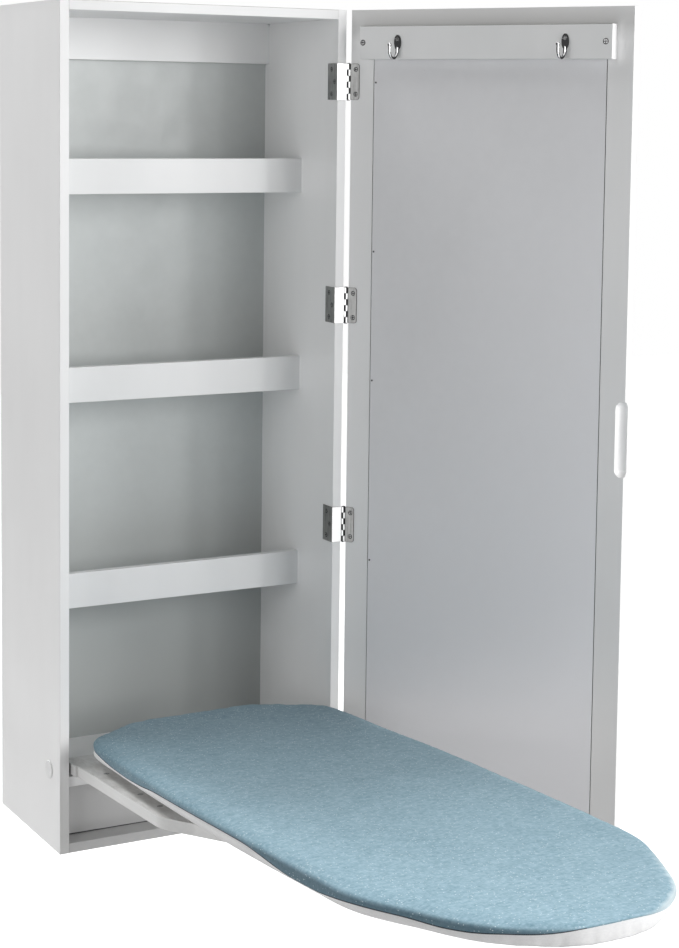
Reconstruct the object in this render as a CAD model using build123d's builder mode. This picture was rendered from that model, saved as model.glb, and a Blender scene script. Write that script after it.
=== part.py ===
from build123d import *
import math
import os

# A wall-hung ironing board cabinet: a shallow box with a tall door that carries a mirror on its
# outer face, three open shelves, and an ironing board that folds down on two arms.
#
# Frame: origin on the cabinet's back plane, midway between the two keyhole hangers.
# +X is to the viewer's right, +Z is up, and the cabinet's front faces -Y.
# All sizes are millimetres. Heights are measured up from the cabinet's underside.

os.makedirs("parts", exist_ok=True)

# ---------------------------------------------------------------- cabinet box
cabinet_height = 1200.0
cabinet_width = 446.0
cabinet_depth = 244.0
panel_thickness = 14.0
panel_edge_round = 0.8
back_thickness = 6.0
back_tongue = 7.0

# ---------------------------------------------------------------- hanging on the wall
hanger_spacing = 300.0
keyhole_radius = 4.5
keyhole_slot_width = 4.5
keyhole_slot_rise = 12.0
hanger_plate_width = 24.0
hanger_plate_height = 56.0
hanger_plate_thickness = 2.0
hanger_screw_drop = 21.0
head_pocket_width = 13.0
head_pocket_depth = 12.0
hanging_rail_height = 62.0
hanging_rail_thickness = 12.0

# ---------------------------------------------------------------- shelves
shelf_lip_tops = {"lower": 375.0, "middle": 678.0, "upper": 980.0}
shelf_lip_height = 51.5
shelf_lip_thickness = 12.0
shelf_reach = 132.0
shelf_board_thickness = 12.0

# ---------------------------------------------------------------- fold-down board's bay
deck_height = 88.0
deck_thickness = 12.0
apron_reach = 210.0
apron_thickness = 12.0
pivot_height = 112.0
pivot_reach = 202.0
board_tilt = 3.4
stop_rail_height = 94.0
stop_rail_tall = 15.0
stop_rail_deep = 18.0
stop_rail_ahead = 18.0
stop_pad_length = 34.0
stop_pad_depth = 14.0

# ---------------------------------------------------------------- board, measured from its pivot
board_rise = 32.4
core_thickness = 12.0
cushion_height = 10.0
cover_skin = 1.0
cushion_round = 7.0
board_rear = 1.0
board_rear_flat = 45.0
board_length = 1056.0
board_half_width = 200.0
board_widest_at = 400.0
board_shoulder_at = 98.0
board_shoulder_half = 189.0
board_side_splay = 0.12
rear_corner_outer = (104.0, 13.0)
rear_corner_inner = (158.0, 50.0)
nose_start_at = 823.0
nose_start_half = 190.5
nose_taper = (156.0, 0.41)
nose_flank = (118.0, 0.73)
nose_tip_side = (72.0, 0.91)

# ---------------------------------------------------------------- board's arms and battens
arm_gap = 6.0
arm_width = 60.0
arm_thickness = 15.5
arm_below_pivot = 0.5
arm_rear = 10.0
arm_bend_at = 350.0
arm_bend_angle = 26.5
arm_bend_radius = 60.0
arm_length = 548.0
arm_screw_inset = 20.0
arm_screw_places = (118.0, 238.0, 303.0)
batten_width = 45.0
batten_lap = 12.0
first_batten_ahead = 95.0
batten_pitch = 167.5

# ---------------------------------------------------------------- pivots
bolt_radius = 3.0
bolt_head_radius = 5.6
bolt_head_height = 4.0
bolt_head_sink = 4.6
nut_flats = 10.0
nut_height = 5.2
bolt_tail = 1.2
cap_radius = 13.0
cap_thickness = 1.6
spacer_radius = 8.0
bushing_radius = 5.0
bracket_thickness = 3.0
bracket_lobe_radius = 11.0
bracket_cheek_length = 60.0
bracket_strap_width = 30.0
bracket_strap_length = 318.0
bracket_strap_thickness = 2.0
bracket_strap_inset = 3.0

# ---------------------------------------------------------------- door
door_angle = 120.5
door_thickness = 18.0
frame_width = 50.0
pocket_lap = 12.0
mirror_thickness = 4.0
mirror_inset = 8.0
backing_thickness = 6.0
backing_gap = 0.7
hook_batten_start_gap = 22.5
hook_batten_end_gap = 25.5
hook_batten_drop = 24.0
hook_batten_height = 48.0
hook_batten_thickness = 14.5
batten_screw_inset_left = 5.0
batten_screw_inset_right = 10.0
backing_pin_spread = (0.06, 0.31, 0.55, 0.72, 0.94)
backing_pin_inset = 4.0
backing_pin_radius = 0.8
backing_pin_head = 1.15
backing_pin_bite = 4.0

# ---------------------------------------------------------------- coat hooks on the door
hook_inset_left = 86.0
hook_inset_right = 95.5
hook_plate_width = 11.0
hook_plate_height = 22.0
hook_plate_thickness = 1.6
hook_screw_rise = 4.5
hook_wire_radius = 2.0
hook_bend_radius = 11.0
hook_start_drop = 8.0
hook_straight = 4.0
hook_tip_rise = 8.0
hook_tip_radius = 2.8

# ---------------------------------------------------------------- finger groove in the door's free edge
groove_height = 106.0
groove_middle = 604.0
groove_width = 14.0
groove_depth = 10.0
groove_wall = 0.3

# ---------------------------------------------------------------- hinges
lower_hinge_height = 436.0
upper_hinge_drop = 104.5
leaf_height = 53.0
leaf_thickness = 1.5
cabinet_leaf_length = 29.0
door_leaf_length = 14.3
door_leaf_corner = 4.0
knuckle_radius = 3.2
knuckle_count = 6
knuckle_gap = 0.24
hinge_pin_radius = 1.5
pin_head_radius = 2.4
pin_head_height = 0.8
pin_offset = 3.5

# ---------------------------------------------------------------- magnetic catch
catch_width = 46.0
catch_height = 13.0
catch_depth = 14.0
magnet_width = 30.0
magnet_height = 5.0
magnet_depth = 10.0
strike_width = 36.0
strike_height = 12.0
strike_thickness = 1.2
catch_gap = 0.2

# ---------------------------------------------------------------- screws
wood_screw_radius = 1.5
wood_screw_head = 3.2
wood_screw_length = 12.0
arm_screw_radius = 2.0
arm_screw_head = 4.2
recess_width = 0.7
recess_depth = 0.9
screw_hole_spare = 1.0

# ---------------------------------------------------------------- clearances
fit_gap = 0.15
turning_gap = 0.05
side_play = 0.2
seat_gap = 0.05
cloth_gap = 0.2

# ---------------------------------------------------------------- worked-out places
half_width = cabinet_width / 2
inner_half = half_width - panel_thickness
hang_height = cabinet_height - panel_thickness - hanging_rail_height / 2
base_z = -hang_height
top_z = base_z + cabinet_height
front_y = -cabinet_depth
pivot_y = -pivot_reach
pivot_z = base_z + pivot_height
arm_outer = inner_half - arm_gap
arm_inner = arm_outer - arm_width
spacer_thickness = arm_gap - bracket_thickness - side_play
pin_x = half_width + pin_offset
pin_y = front_y - leaf_thickness
tilt = math.radians(board_tilt)
upper_hinge_height = cabinet_height - upper_hinge_drop
hinge_heights = {
    "lower": lower_hinge_height,
    "middle": (lower_hinge_height + upper_hinge_height) / 2,
    "upper": upper_hinge_height,
}
FRONT_IN = (Align.CENTER, Align.CENTER, Align.MAX)
UP = (Align.CENTER, Align.CENTER, Align.MIN)


def slab(x_span, y_span, z_span):
    """A square-edged board between two places along each axis."""
    with BuildPart() as piece:
        with BuildSketch(Plane.XY.offset(z_span[0])):
            with Locations(((x_span[0] + x_span[1]) / 2, (y_span[0] + y_span[1]) / 2)):
                Rectangle(x_span[1] - x_span[0], y_span[1] - y_span[0])
        extrude(amount=z_span[1] - z_span[0])
    return piece


def facing(x, y, z, z_dir, x_dir=(0, 0, 1)):
    """A place at (x, y, z) whose own +Z points along z_dir."""
    return Location(Plane(origin=(x, y, z), x_dir=x_dir, z_dir=z_dir))


def screw_group(places, radius, head_radius, length):
    """Flat-headed screws, heads level with each place, with a cross recess in each head."""
    with BuildPart() as group:
        with Locations(*places):
            Cylinder(radius, length, align=FRONT_IN)
            Cone(radius, head_radius, head_radius - radius, align=FRONT_IN)
            Box(head_radius * 1.3, recess_width, recess_depth, align=FRONT_IN, mode=Mode.SUBTRACT)
            Box(recess_width, head_radius * 1.3, recess_depth, align=FRONT_IN, mode=Mode.SUBTRACT)
    return group


# ================================================================ screw and hole places
hanger_xs = (-hanger_spacing / 2, hanger_spacing / 2)
hanger_screw_places = [
    facing(x, 0, z, (0, 1, 0)) for x in hanger_xs for z in (-hanger_screw_drop, hanger_screw_drop)
]

leaf_screw_rows = ((-0.34, 0.62), (0.0, 0.30), (0.34, 0.62))
cabinet_leaf_screws = {
    name: [
        facing(
            inner_half - leaf_thickness,
            pin_y + across * cabinet_leaf_length,
            base_z + height + along * leaf_height,
            (-1, 0, 0),
        )
        for along, across in leaf_screw_rows
    ]
    for name, height in hinge_heights.items()
}

# ================================================================ cabinet box
panel_sides = {"left": -1, "right": 1}
for side, sign in panel_sides.items():
    with BuildPart() as side_panel:
        with BuildSketch(Plane.XY.offset(base_z)):
            with Locations((sign * (half_width + inner_half) / 2, front_y / 2)):
                Rectangle(panel_thickness, cabinet_depth)
        extrude(amount=cabinet_height)
        upright = side_panel.edges().filter_by(Axis.Z)
        fillet(upright.group_by(Axis.Y)[0], radius=panel_edge_round)
        with BuildSketch(Plane.XY.offset(base_z + panel_thickness - back_tongue)):
            with Locations((sign * (inner_half + back_tongue / 2), -back_thickness / 2)):
                Rectangle(back_tongue, back_thickness)
        extrude(amount=cabinet_height - 2 * (panel_thickness - back_tongue), mode=Mode.SUBTRACT)
        with Locations(facing(sign * half_width, pivot_y, pivot_z, (sign, 0, 0))):
            CounterBoreHole(
                bolt_radius + fit_gap,
                bolt_head_radius + 2 * fit_gap,
                bolt_head_sink,
                panel_thickness,
            )
        if side == "right":
            for places in cabinet_leaf_screws.values():
                with Locations(*[place * Pos(0, 0, -leaf_thickness) for place in places]):
                    Hole(wood_screw_head - leaf_thickness + fit_gap, wood_screw_length)
    side_panel.part.label = f"{side}_side_panel"
    export_step(side_panel.part, f"parts/{side}_side_panel.step")

for name, low_z, rebate_z in (
    ("top_panel", top_z - panel_thickness, top_z - panel_thickness),
    ("bottom_panel", base_z, base_z + panel_thickness - back_tongue),
):
    with BuildPart() as end_panel:
        with BuildSketch(Plane.XY.offset(low_z)):
            with Locations((0, front_y / 2)):
                Rectangle(2 * inner_half, cabinet_depth)
        extrude(amount=panel_thickness)
        fillet(end_panel.edges().filter_by(Axis.X).group_by(Axis.Y)[0], radius=panel_edge_round)
        with BuildSketch(Plane.XY.offset(rebate_z)):
            with Locations((0, -back_thickness / 2)):
                Rectangle(2 * inner_half, back_thickness)
        extrude(amount=back_tongue, mode=Mode.SUBTRACT)
    end_panel.part.label = name
    export_step(end_panel.part, f"parts/{name}.step")

# The back panel holds the two hanger plates flush in its rear face, each over a pocket that
# leaves room for the head of a wall screw.
back_low = base_z + panel_thickness - back_tongue
back_high = top_z - panel_thickness + back_tongue
with BuildPart() as back_panel:
    with BuildSketch(Plane.XY.offset(back_low)):
        with Locations((0, -back_thickness / 2)):
            Rectangle(2 * (inner_half + back_tongue), back_thickness)
    extrude(amount=back_high - back_low)
    with BuildSketch(Plane.XZ):
        with Locations(*[(x, 0) for x in hanger_xs]):
            Rectangle(hanger_plate_width + 2 * fit_gap, hanger_plate_height + 2 * fit_gap)
    extrude(amount=hanger_plate_thickness, mode=Mode.SUBTRACT)
    with BuildSketch(Plane.XZ):
        with Locations(*[(x, keyhole_slot_rise / 2) for x in hanger_xs]):
            SlotCenterToCenter(keyhole_slot_rise, head_pocket_width, rotation=90)
    extrude(amount=back_thickness, mode=Mode.SUBTRACT)
    with Locations(*hanger_screw_places):
        Hole(wood_screw_radius + fit_gap, back_thickness)
back_panel.part.label = "back_panel"
export_step(back_panel.part, "parts/back_panel.step")

rail_top = top_z - panel_thickness
rail_face = -back_thickness - hanging_rail_thickness
with BuildPart() as hanging_rail:
    with BuildSketch(Plane.XY.offset(rail_top - hanging_rail_height)):
        with Locations((0, (rail_face - back_thickness) / 2)):
            Rectangle(2 * inner_half, hanging_rail_thickness)
    extrude(amount=hanging_rail_height)
    low_front = hanging_rail.edges().filter_by(Axis.X).group_by(Axis.Y)[0].sort_by(Axis.Z)[0]
    fillet(low_front, radius=panel_edge_round)
    with BuildSketch(Plane.XZ.offset(back_thickness)):
        with Locations(*[(x, keyhole_slot_rise / 2) for x in hanger_xs]):
            SlotCenterToCenter(keyhole_slot_rise, head_pocket_width, rotation=90)
    extrude(amount=head_pocket_depth - back_thickness, mode=Mode.SUBTRACT)
    with Locations(*[place * Pos(0, 0, -back_thickness) for place in hanger_screw_places]):
        Hole(wood_screw_radius + fit_gap, wood_screw_length + screw_hole_spare - back_thickness)
hanging_rail.part.label = "hanging_rail"
export_step(hanging_rail.part, "parts/hanging_rail.step")

# ================================================================ keyhole hangers
with BuildPart() as keyhole_hangers:
    with BuildSketch(Plane.XZ):
        with Locations(*[(x, 0) for x in hanger_xs]):
            RectangleRounded(hanger_plate_width, hanger_plate_height, 2 * hanger_plate_thickness)
            Circle(keyhole_radius, mode=Mode.SUBTRACT)
        with Locations(*[(x, keyhole_slot_rise / 2) for x in hanger_xs]):
            SlotCenterToCenter(
                keyhole_slot_rise, keyhole_slot_width, rotation=90, mode=Mode.SUBTRACT
            )
    extrude(amount=hanger_plate_thickness)
    with Locations(*hanger_screw_places):
        CounterSinkHole(
            wood_screw_radius + fit_gap, wood_screw_head + 2 * fit_gap, hanger_plate_thickness
        )
keyhole_hangers.part.label = "keyhole_hangers"
export_step(keyhole_hangers.part, "parts/keyhole_hangers.step")

keyhole_screws = screw_group(
    hanger_screw_places, wood_screw_radius, wood_screw_head, wood_screw_length
)
keyhole_screws.part.label = "keyhole_screws"
export_step(keyhole_screws.part, "parts/keyhole_screws.step")

# ================================================================ shelves
lip_back = -shelf_reach + shelf_lip_thickness
for name, lip_top in shelf_lip_tops.items():
    lip_low = base_z + lip_top - shelf_lip_height
    with BuildPart() as shelf_lip:
        with BuildSketch(Plane.XY.offset(lip_low)):
            with Locations((0, (lip_back - shelf_reach) / 2)):
                Rectangle(2 * inner_half, shelf_lip_thickness)
        extrude(amount=shelf_lip_height)
        fillet(shelf_lip.edges().filter_by(Axis.X).group_by(Axis.Y)[0], radius=panel_edge_round)
    shelf_lip.part.label = f"shelf_lip_{name}"
    export_step(shelf_lip.part, f"parts/shelf_lip_{name}.step")

    shelf_board = slab(
        (-inner_half, inner_half),
        (lip_back, -back_thickness),
        (lip_low, lip_low + shelf_board_thickness),
    )
    shelf_board.part.label = f"shelf_board_{name}"
    export_step(shelf_board.part, f"parts/shelf_board_{name}.step")

# ================================================================ bottom bay
deck_top = base_z + deck_height
apron_back = -apron_reach + apron_thickness
deck_panel = slab(
    (-inner_half, inner_half), (apron_back, -back_thickness), (deck_top - deck_thickness, deck_top)
)
deck_panel.part.label = "deck_panel"
export_step(deck_panel.part, "parts/deck_panel.step")

with BuildPart() as apron_panel:
    with BuildSketch(Plane.XY.offset(base_z + panel_thickness)):
        with Locations((0, (apron_back - apron_reach) / 2)):
            Rectangle(2 * inner_half, apron_thickness)
    extrude(amount=deck_height - panel_thickness)
    top_front = apron_panel.edges().filter_by(Axis.X).group_by(Axis.Z)[-1].sort_by(Axis.Y)[0]
    fillet(top_front, radius=panel_edge_round)
apron_panel.part.label = "apron_panel"
export_step(apron_panel.part, "parts/apron_panel.step")

stop_back = pivot_y - stop_rail_ahead
stop_low = base_z + stop_rail_height
stop_top = stop_low + stop_rail_tall
with BuildPart() as stop_rail:
    with BuildSketch(Plane.XY.offset(stop_low)):
        with Locations((0, stop_back - stop_rail_deep / 2)):
            Rectangle(2 * inner_half, stop_rail_deep)
    extrude(amount=stop_rail_tall)
    fillet(stop_rail.edges().filter_by(Axis.X).group_by(Axis.Y)[0], radius=panel_edge_round)
stop_rail.part.label = "stop_rail"
export_step(stop_rail.part, "parts/stop_rail.step")


def arm_underside(ahead):
    """Height of the resting arm's underside, this far in front of the pivot."""
    return pivot_z + ahead * math.tan(tilt) - arm_below_pivot / math.cos(tilt)


# The rubber pads are wedges, so that each arm lies flat on them.
pad_near = stop_rail_ahead + (stop_rail_deep - stop_pad_depth) / 2
pad_far = pad_near + stop_pad_depth
with BuildPart() as stop_pads:
    with BuildSketch(Plane.YZ.offset(arm_inner + (arm_width - stop_pad_length) / 2)):
        with BuildLine():
            Polyline(
                (pivot_y - pad_near, stop_top),
                (pivot_y - pad_near, arm_underside(pad_near) - seat_gap),
                (pivot_y - pad_far, arm_underside(pad_far) - seat_gap),
                (pivot_y - pad_far, stop_top),
                close=True,
            )
        make_face()
    extrude(amount=stop_pad_length)
    mirror(about=Plane.YZ)
stop_pads.part.label = "stop_pads"
export_step(stop_pads.part, "parts/stop_pads.step")


# ================================================================ pivots, fixed half
def pivot_disc(radius, bore, from_x, to_x):
    """A pair of round pieces on the pivot axis, one at each side of the board."""
    with BuildPart() as pair:
        with BuildSketch(Plane.YZ.offset(from_x)):
            with Locations((pivot_y, pivot_z)):
                Circle(radius)
                if bore:
                    Circle(bore, mode=Mode.SUBTRACT)
        extrude(amount=to_x - from_x)
        mirror(about=Plane.YZ)
    return pair


bolt_head_floor = half_width - bolt_head_sink
nut_face = arm_outer - side_play
nut_end = nut_face - nut_height
with BuildPart() as pivot_bolts:
    with BuildSketch(Plane.YZ.offset(nut_end - bolt_tail)):
        with Locations((pivot_y, pivot_z)):
            Circle(bolt_radius)
    extrude(amount=bolt_head_floor - nut_end + bolt_tail)
    with BuildSketch(Plane.YZ.offset(bolt_head_floor)):
        with Locations((pivot_y, pivot_z)):
            Circle(bolt_head_radius)
    extrude(amount=bolt_head_height)
    mirror(about=Plane.YZ)
pivot_bolts.part.label = "pivot_bolts"
export_step(pivot_bolts.part, "parts/pivot_bolts.step")

with BuildPart() as pivot_cover_caps:
    with BuildSketch(Plane.YZ.offset(half_width)):
        with Locations((pivot_y, pivot_z)):
            Circle(cap_radius)
    extrude(amount=cap_thickness)
    rim = pivot_cover_caps.edges().filter_by(GeomType.CIRCLE).sort_by(Axis.X)[-1]
    fillet(rim, radius=cap_thickness * 0.7)
    mirror(about=Plane.YZ)
pivot_cover_caps.part.label = "pivot_cover_caps"
export_step(pivot_cover_caps.part, "parts/pivot_cover_caps.step")

pivot_spacers = pivot_disc(
    spacer_radius, bolt_radius + fit_gap, inner_half - spacer_thickness, inner_half
)
pivot_spacers.part.label = "pivot_spacers"
export_step(pivot_spacers.part, "parts/pivot_spacers.step")

with BuildPart() as pivot_nuts:
    with BuildSketch(Plane.YZ.offset(nut_end)):
        with Locations((pivot_y, pivot_z)):
            RegularPolygon(nut_flats / 2, 6, major_radius=False)
            Circle(bolt_radius + fit_gap, mode=Mode.SUBTRACT)
    extrude(amount=nut_height)
    mirror(about=Plane.YZ)
pivot_nuts.part.label = "pivot_nuts"
export_step(pivot_nuts.part, "parts/pivot_nuts.step")


# ================================================================ fold-down board
# The board's own planes lie along it as it rests: local x is +X, local -y runs from the
# pivot towards the nose, and the plane's normal points up through the cushion.
board_up = Axis((0, pivot_y, pivot_z), (0, math.sin(tilt), math.cos(tilt)))


def board_plane(rise):
    """The plane this far above the pivot axis, square to the board."""
    origin = board_up.position + board_up.direction * rise
    return Plane(origin=origin, x_dir=(1, 0, 0), z_dir=board_up.direction)


def board_outline(inset):
    """The board's outline: broad rear end, nearly straight sides and a tapered nose."""
    middle = (board_rear + board_length) / 2
    across = 1 - inset / board_half_width
    lengthwise = 1 - inset / (board_length - middle)
    nose_reach = board_length - nose_start_at

    def at(half, ahead):
        return (half * across, -middle - (ahead - middle) * lengthwise)

    def on_nose(half, share):
        return at(half, nose_start_at + share * nose_reach)

    with BuildSketch() as outline:
        with BuildLine():
            Line(at(0, board_rear), at(board_rear_flat, board_rear))
            Spline(
                at(board_rear_flat, board_rear),
                at(*rear_corner_outer),
                at(*rear_corner_inner),
                at(board_shoulder_half, board_shoulder_at),
                tangents=((1, 0), (board_side_splay, -1)),
            )
            ThreePointArc(
                at(board_shoulder_half, board_shoulder_at),
                at(board_half_width, board_widest_at),
                at(nose_start_half, nose_start_at),
            )
            Spline(
                at(nose_start_half, nose_start_at),
                on_nose(*nose_taper),
                on_nose(*nose_flank),
                on_nose(*nose_tip_side),
                at(0, board_length),
                tangents=((-board_side_splay, -1), (-1, 0)),
            )
            mirror(about=Plane.YZ)
        make_face()
    return outline.sketch


with BuildPart() as board_core:
    with BuildSketch(board_plane(board_rise)):
        add(board_outline(0))
    extrude(amount=core_thickness)
board_core.part.label = "board_core"
export_step(board_core.part, "parts/board_core.step")

cushion_low = board_rise + core_thickness
with BuildPart() as board_pad:
    with BuildSketch(board_plane(cushion_low)):
        add(board_outline(cover_skin + cloth_gap))
    extrude(amount=cushion_height - cover_skin - cloth_gap)
    rims = board_pad.faces().sort_by(board_up)[-1].edges()
    fillet(rims, radius=cushion_round - cover_skin - cloth_gap)
board_pad.part.label = "board_pad"
export_step(board_pad.part, "parts/board_pad.step")

with BuildPart() as cover_hollow:
    with BuildSketch(board_plane(cushion_low)):
        add(board_outline(cover_skin))
    extrude(amount=cushion_height - cover_skin)
    rims = cover_hollow.faces().sort_by(board_up)[-1].edges()
    fillet(rims, radius=cushion_round - cover_skin)

with BuildPart() as board_cover:
    with BuildSketch(board_plane(cushion_low)):
        add(board_outline(0))
    extrude(amount=cushion_height)
    rims = board_cover.faces().sort_by(board_up)[-1].edges()
    fillet(rims, radius=cushion_round)
    add(cover_hollow.part, mode=Mode.SUBTRACT)
board_cover.part.label = "board_cover"
export_step(board_cover.part, "parts/board_cover.step")

# ================================================================ arms under the board
taper = math.tan(math.radians(arm_bend_angle))
arm_end = arm_length + arm_rear
arm_end_outer = arm_outer - (arm_end - arm_bend_at) * taper
arm_end_inner = arm_end_outer - arm_width
arm_low = -arm_below_pivot
arm_top = arm_low + arm_thickness
strap_top = arm_low + bracket_strap_thickness
strap_inner = arm_outer - bracket_strap_width
strap_outer = arm_outer - bracket_strap_inset
arm_screw_x = arm_outer - arm_screw_inset


def arm_screw_locations(sign):
    """Where the three screws enter one arm's upper face."""
    face = Location(board_plane(arm_top))
    return [face * Pos(sign * arm_screw_x, -place, 0) for place in arm_screw_places]


for side, sign in panel_sides.items():
    with BuildPart() as arm:
        with BuildSketch(board_plane(arm_low)):
            with BuildLine():
                FilletPolyline(
                    (sign * arm_outer, -arm_rear),
                    (sign * arm_outer, -arm_bend_at),
                    (sign * arm_end_outer, -arm_end),
                    radius=arm_bend_radius,
                )
                Line((sign * arm_end_outer, -arm_end), (sign * arm_end_inner, -arm_end))
                FilletPolyline(
                    (sign * arm_end_inner, -arm_end),
                    (sign * arm_inner, -arm_bend_at),
                    (sign * arm_inner, -arm_rear),
                    radius=arm_bend_radius,
                )
                Line((sign * arm_inner, -arm_rear), (sign * arm_outer, -arm_rear))
            make_face()
        extrude(amount=arm_thickness)
        with BuildSketch(board_plane(arm_low)):
            with BuildLine():
                Polyline(
                    (sign * (strap_inner - fit_gap), -arm_rear),
                    (sign * arm_outer, -arm_rear),
                    (sign * arm_outer, -(bracket_cheek_length + fit_gap)),
                    (sign * (strap_outer + fit_gap), -(bracket_cheek_length + fit_gap)),
                    (sign * (strap_outer + fit_gap), -(bracket_strap_length + fit_gap)),
                    (sign * (strap_inner - fit_gap), -(bracket_strap_length + fit_gap)),
                    close=True,
                )
            make_face()
        extrude(amount=bracket_strap_thickness, mode=Mode.SUBTRACT)
        with Locations(*arm_screw_locations(sign)):
            CounterSinkHole(
                arm_screw_radius + fit_gap, arm_screw_head + 2 * fit_gap, arm_thickness
            )
    arm.part.label = f"arm_{side}"
    export_step(arm.part, f"parts/arm_{side}.step")

    # An angle bracket: an upright cheek with a round eye on the pivot, and a long flat strap
    # let into the underside of the arm.
    cheek_face = arm_outer if sign > 0 else -arm_outer - bracket_thickness
    cheek_plane = Plane(
        origin=(cheek_face, pivot_y, pivot_z),
        x_dir=(0, -math.cos(tilt), math.sin(tilt)),
        z_dir=(-1, 0, 0),
    )
    with BuildPart() as pivot_bracket:
        with BuildSketch(cheek_plane):
            Circle(bracket_lobe_radius)
            with Locations(((bracket_cheek_length + arm_rear) / 2, (arm_low + arm_top) / 2)):
                Rectangle(bracket_cheek_length - arm_rear, arm_thickness)
            with BuildLine():
                Polyline(
                    (0, -bracket_lobe_radius),
                    (arm_rear + bracket_lobe_radius, arm_low),
                    (arm_rear + bracket_lobe_radius, arm_top),
                    (0, bracket_lobe_radius),
                    close=True,
                )
            make_face()
            Circle(bushing_radius + fit_gap, mode=Mode.SUBTRACT)
        extrude(amount=-bracket_thickness)
        with BuildSketch(board_plane(arm_low)):
            with BuildLine():
                Polyline(
                    (sign * strap_inner, -arm_rear),
                    (sign * (arm_outer + bracket_thickness), -arm_rear),
                    (sign * (arm_outer + bracket_thickness), -bracket_cheek_length),
                    (sign * strap_outer, -bracket_cheek_length),
                    (sign * strap_outer, -bracket_strap_length),
                    (sign * strap_inner, -bracket_strap_length),
                    close=True,
                )
            make_face()
        extrude(amount=bracket_strap_thickness)
        with Locations(*arm_screw_locations(sign)):
            Hole(arm_screw_radius + fit_gap, arm_thickness)
    pivot_bracket.part.label = f"pivot_bracket_{side}"
    export_step(pivot_bracket.part, f"parts/pivot_bracket_{side}.step")

pivot_bushings = pivot_disc(
    bushing_radius, bolt_radius + turning_gap, arm_outer, arm_outer + bracket_thickness
)
pivot_bushings.part.label = "pivot_bushings"
export_step(pivot_bushings.part, "parts/pivot_bushings.step")

frame_screws = screw_group(
    [place for sign in panel_sides.values() for place in arm_screw_locations(sign)],
    arm_screw_radius,
    arm_screw_head,
    arm_thickness,
)
frame_screws.part.label = "frame_screws"
export_step(frame_screws.part, "parts/frame_screws.step")

for number, name in enumerate(("rear", "middle", "front")):
    with BuildPart() as board_batten:
        with BuildSketch(board_plane(arm_top)):
            with Locations((0, -first_batten_ahead - number * batten_pitch)):
                Rectangle(2 * (arm_inner + batten_lap), batten_width)
        extrude(amount=board_rise - arm_top)
    board_batten.part.label = f"board_batten_{name}"
    export_step(board_batten.part, f"parts/board_batten_{name}.step")

# ================================================================ door
# The door's own planes lie along it as it stands open: local x runs from the hinge edge to
# the free edge, local y is the height above the cabinet's underside, and the normal points
# out of the door's inner face.
swing = math.radians(door_angle)
door_along = Vector(-math.cos(swing), -math.sin(swing), 0)
door_inward = Vector(-math.sin(swing), math.cos(swing), 0)
door_corner = Vector(pin_x, pin_y, base_z) + door_along * pin_offset - door_inward * leaf_thickness
pocket_edge = frame_width - pocket_lap
pocket_depth = mirror_thickness + backing_thickness


def door_plane(lift):
    """The plane this far above the door's inner face."""
    return Plane(origin=door_corner + door_inward * lift, x_dir=door_along, z_dir=door_inward)


def door_board(span, heights, low, thick):
    """A board on the door between two places along it and two heights."""
    with BuildPart() as piece:
        with BuildSketch(door_plane(low)):
            with Locations(((span[0] + span[1]) / 2, (heights[0] + heights[1]) / 2)):
                Rectangle(span[1] - span[0], heights[1] - heights[0])
        extrude(amount=thick)
    return piece


door_pocket = door_board(
    (pocket_edge, cabinet_width - pocket_edge),
    (pocket_edge, cabinet_height - pocket_edge),
    -pocket_depth,
    pocket_depth,
)
pin_inset = pocket_edge + backing_pin_inset
sheet_height = cabinet_height - 2 * pocket_edge
pin_spots = [(pin_inset, pocket_edge + share * sheet_height) for share in backing_pin_spread]
pin_tip = -pocket_depth - backing_pin_bite

door_members = {
    "door_stile_hinge": ((0, frame_width), (0, cabinet_height)),
    "door_stile_free": ((cabinet_width - frame_width, cabinet_width), (0, cabinet_height)),
    "door_rail_bottom": ((frame_width, cabinet_width - frame_width), (0, frame_width)),
    "door_rail_top": (
        (frame_width, cabinet_width - frame_width),
        (cabinet_height - frame_width, cabinet_height),
    ),
}
batten_start = hook_batten_start_gap
batten_end = cabinet_width - hook_batten_end_gap
batten_middle = cabinet_height - hook_batten_drop - hook_batten_height / 2
batten_face = Location(door_plane(hook_batten_thickness))
batten_screw_places = [
    batten_face * Pos(place, batten_middle, 0)
    for place in (batten_start + batten_screw_inset_left, batten_end - batten_screw_inset_right)
]
leaf_face = Location(door_plane(leaf_thickness))
door_leaf_screws = {
    name: [
        leaf_face * Pos(door_leaf_length * 0.6, height + along * leaf_height, 0)
        for along in (-0.34, 0.34)
    ]
    for name, height in hinge_heights.items()
}
all_door_leaf_screws = [place for places in door_leaf_screws.values() for place in places]

with BuildPart() as finger_groove:
    with BuildSketch(door_plane(-groove_depth)):
        with Locations((cabinet_width, groove_middle)):
            RectangleRounded(2 * groove_width, groove_height, groove_depth + groove_wall)
    extrude(amount=groove_depth)
    groove_floor = finger_groove.faces().sort_by(Axis(door_corner, door_inward))[0]
    fillet(groove_floor.edges(), radius=groove_depth - groove_wall)

for name, (span, heights) in door_members.items():
    with BuildPart() as member:
        add(door_board(span, heights, -door_thickness, door_thickness).part)
        add(door_pocket.part, mode=Mode.SUBTRACT)
        if "stile" in name:
            with Locations(*[place * Pos(0, 0, -hook_batten_thickness) for place in batten_screw_places]):
                Hole(arm_screw_radius + fit_gap, wood_screw_length)
        if name == "door_stile_free":
            add(finger_groove.part, mode=Mode.SUBTRACT)
        if name == "door_stile_hinge":
            with BuildSketch(door_plane(pin_tip - fit_gap)):
                with Locations(*pin_spots):
                    Circle(backing_pin_radius + fit_gap)
            extrude(amount=backing_pin_bite + 2 * fit_gap, mode=Mode.SUBTRACT)
            with Locations(*[place * Pos(0, 0, -leaf_thickness) for place in all_door_leaf_screws]):
                Hole(wood_screw_head - leaf_thickness + fit_gap, wood_screw_length)
    member.part.label = name
    export_step(member.part, f"parts/{name}.step")

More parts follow.
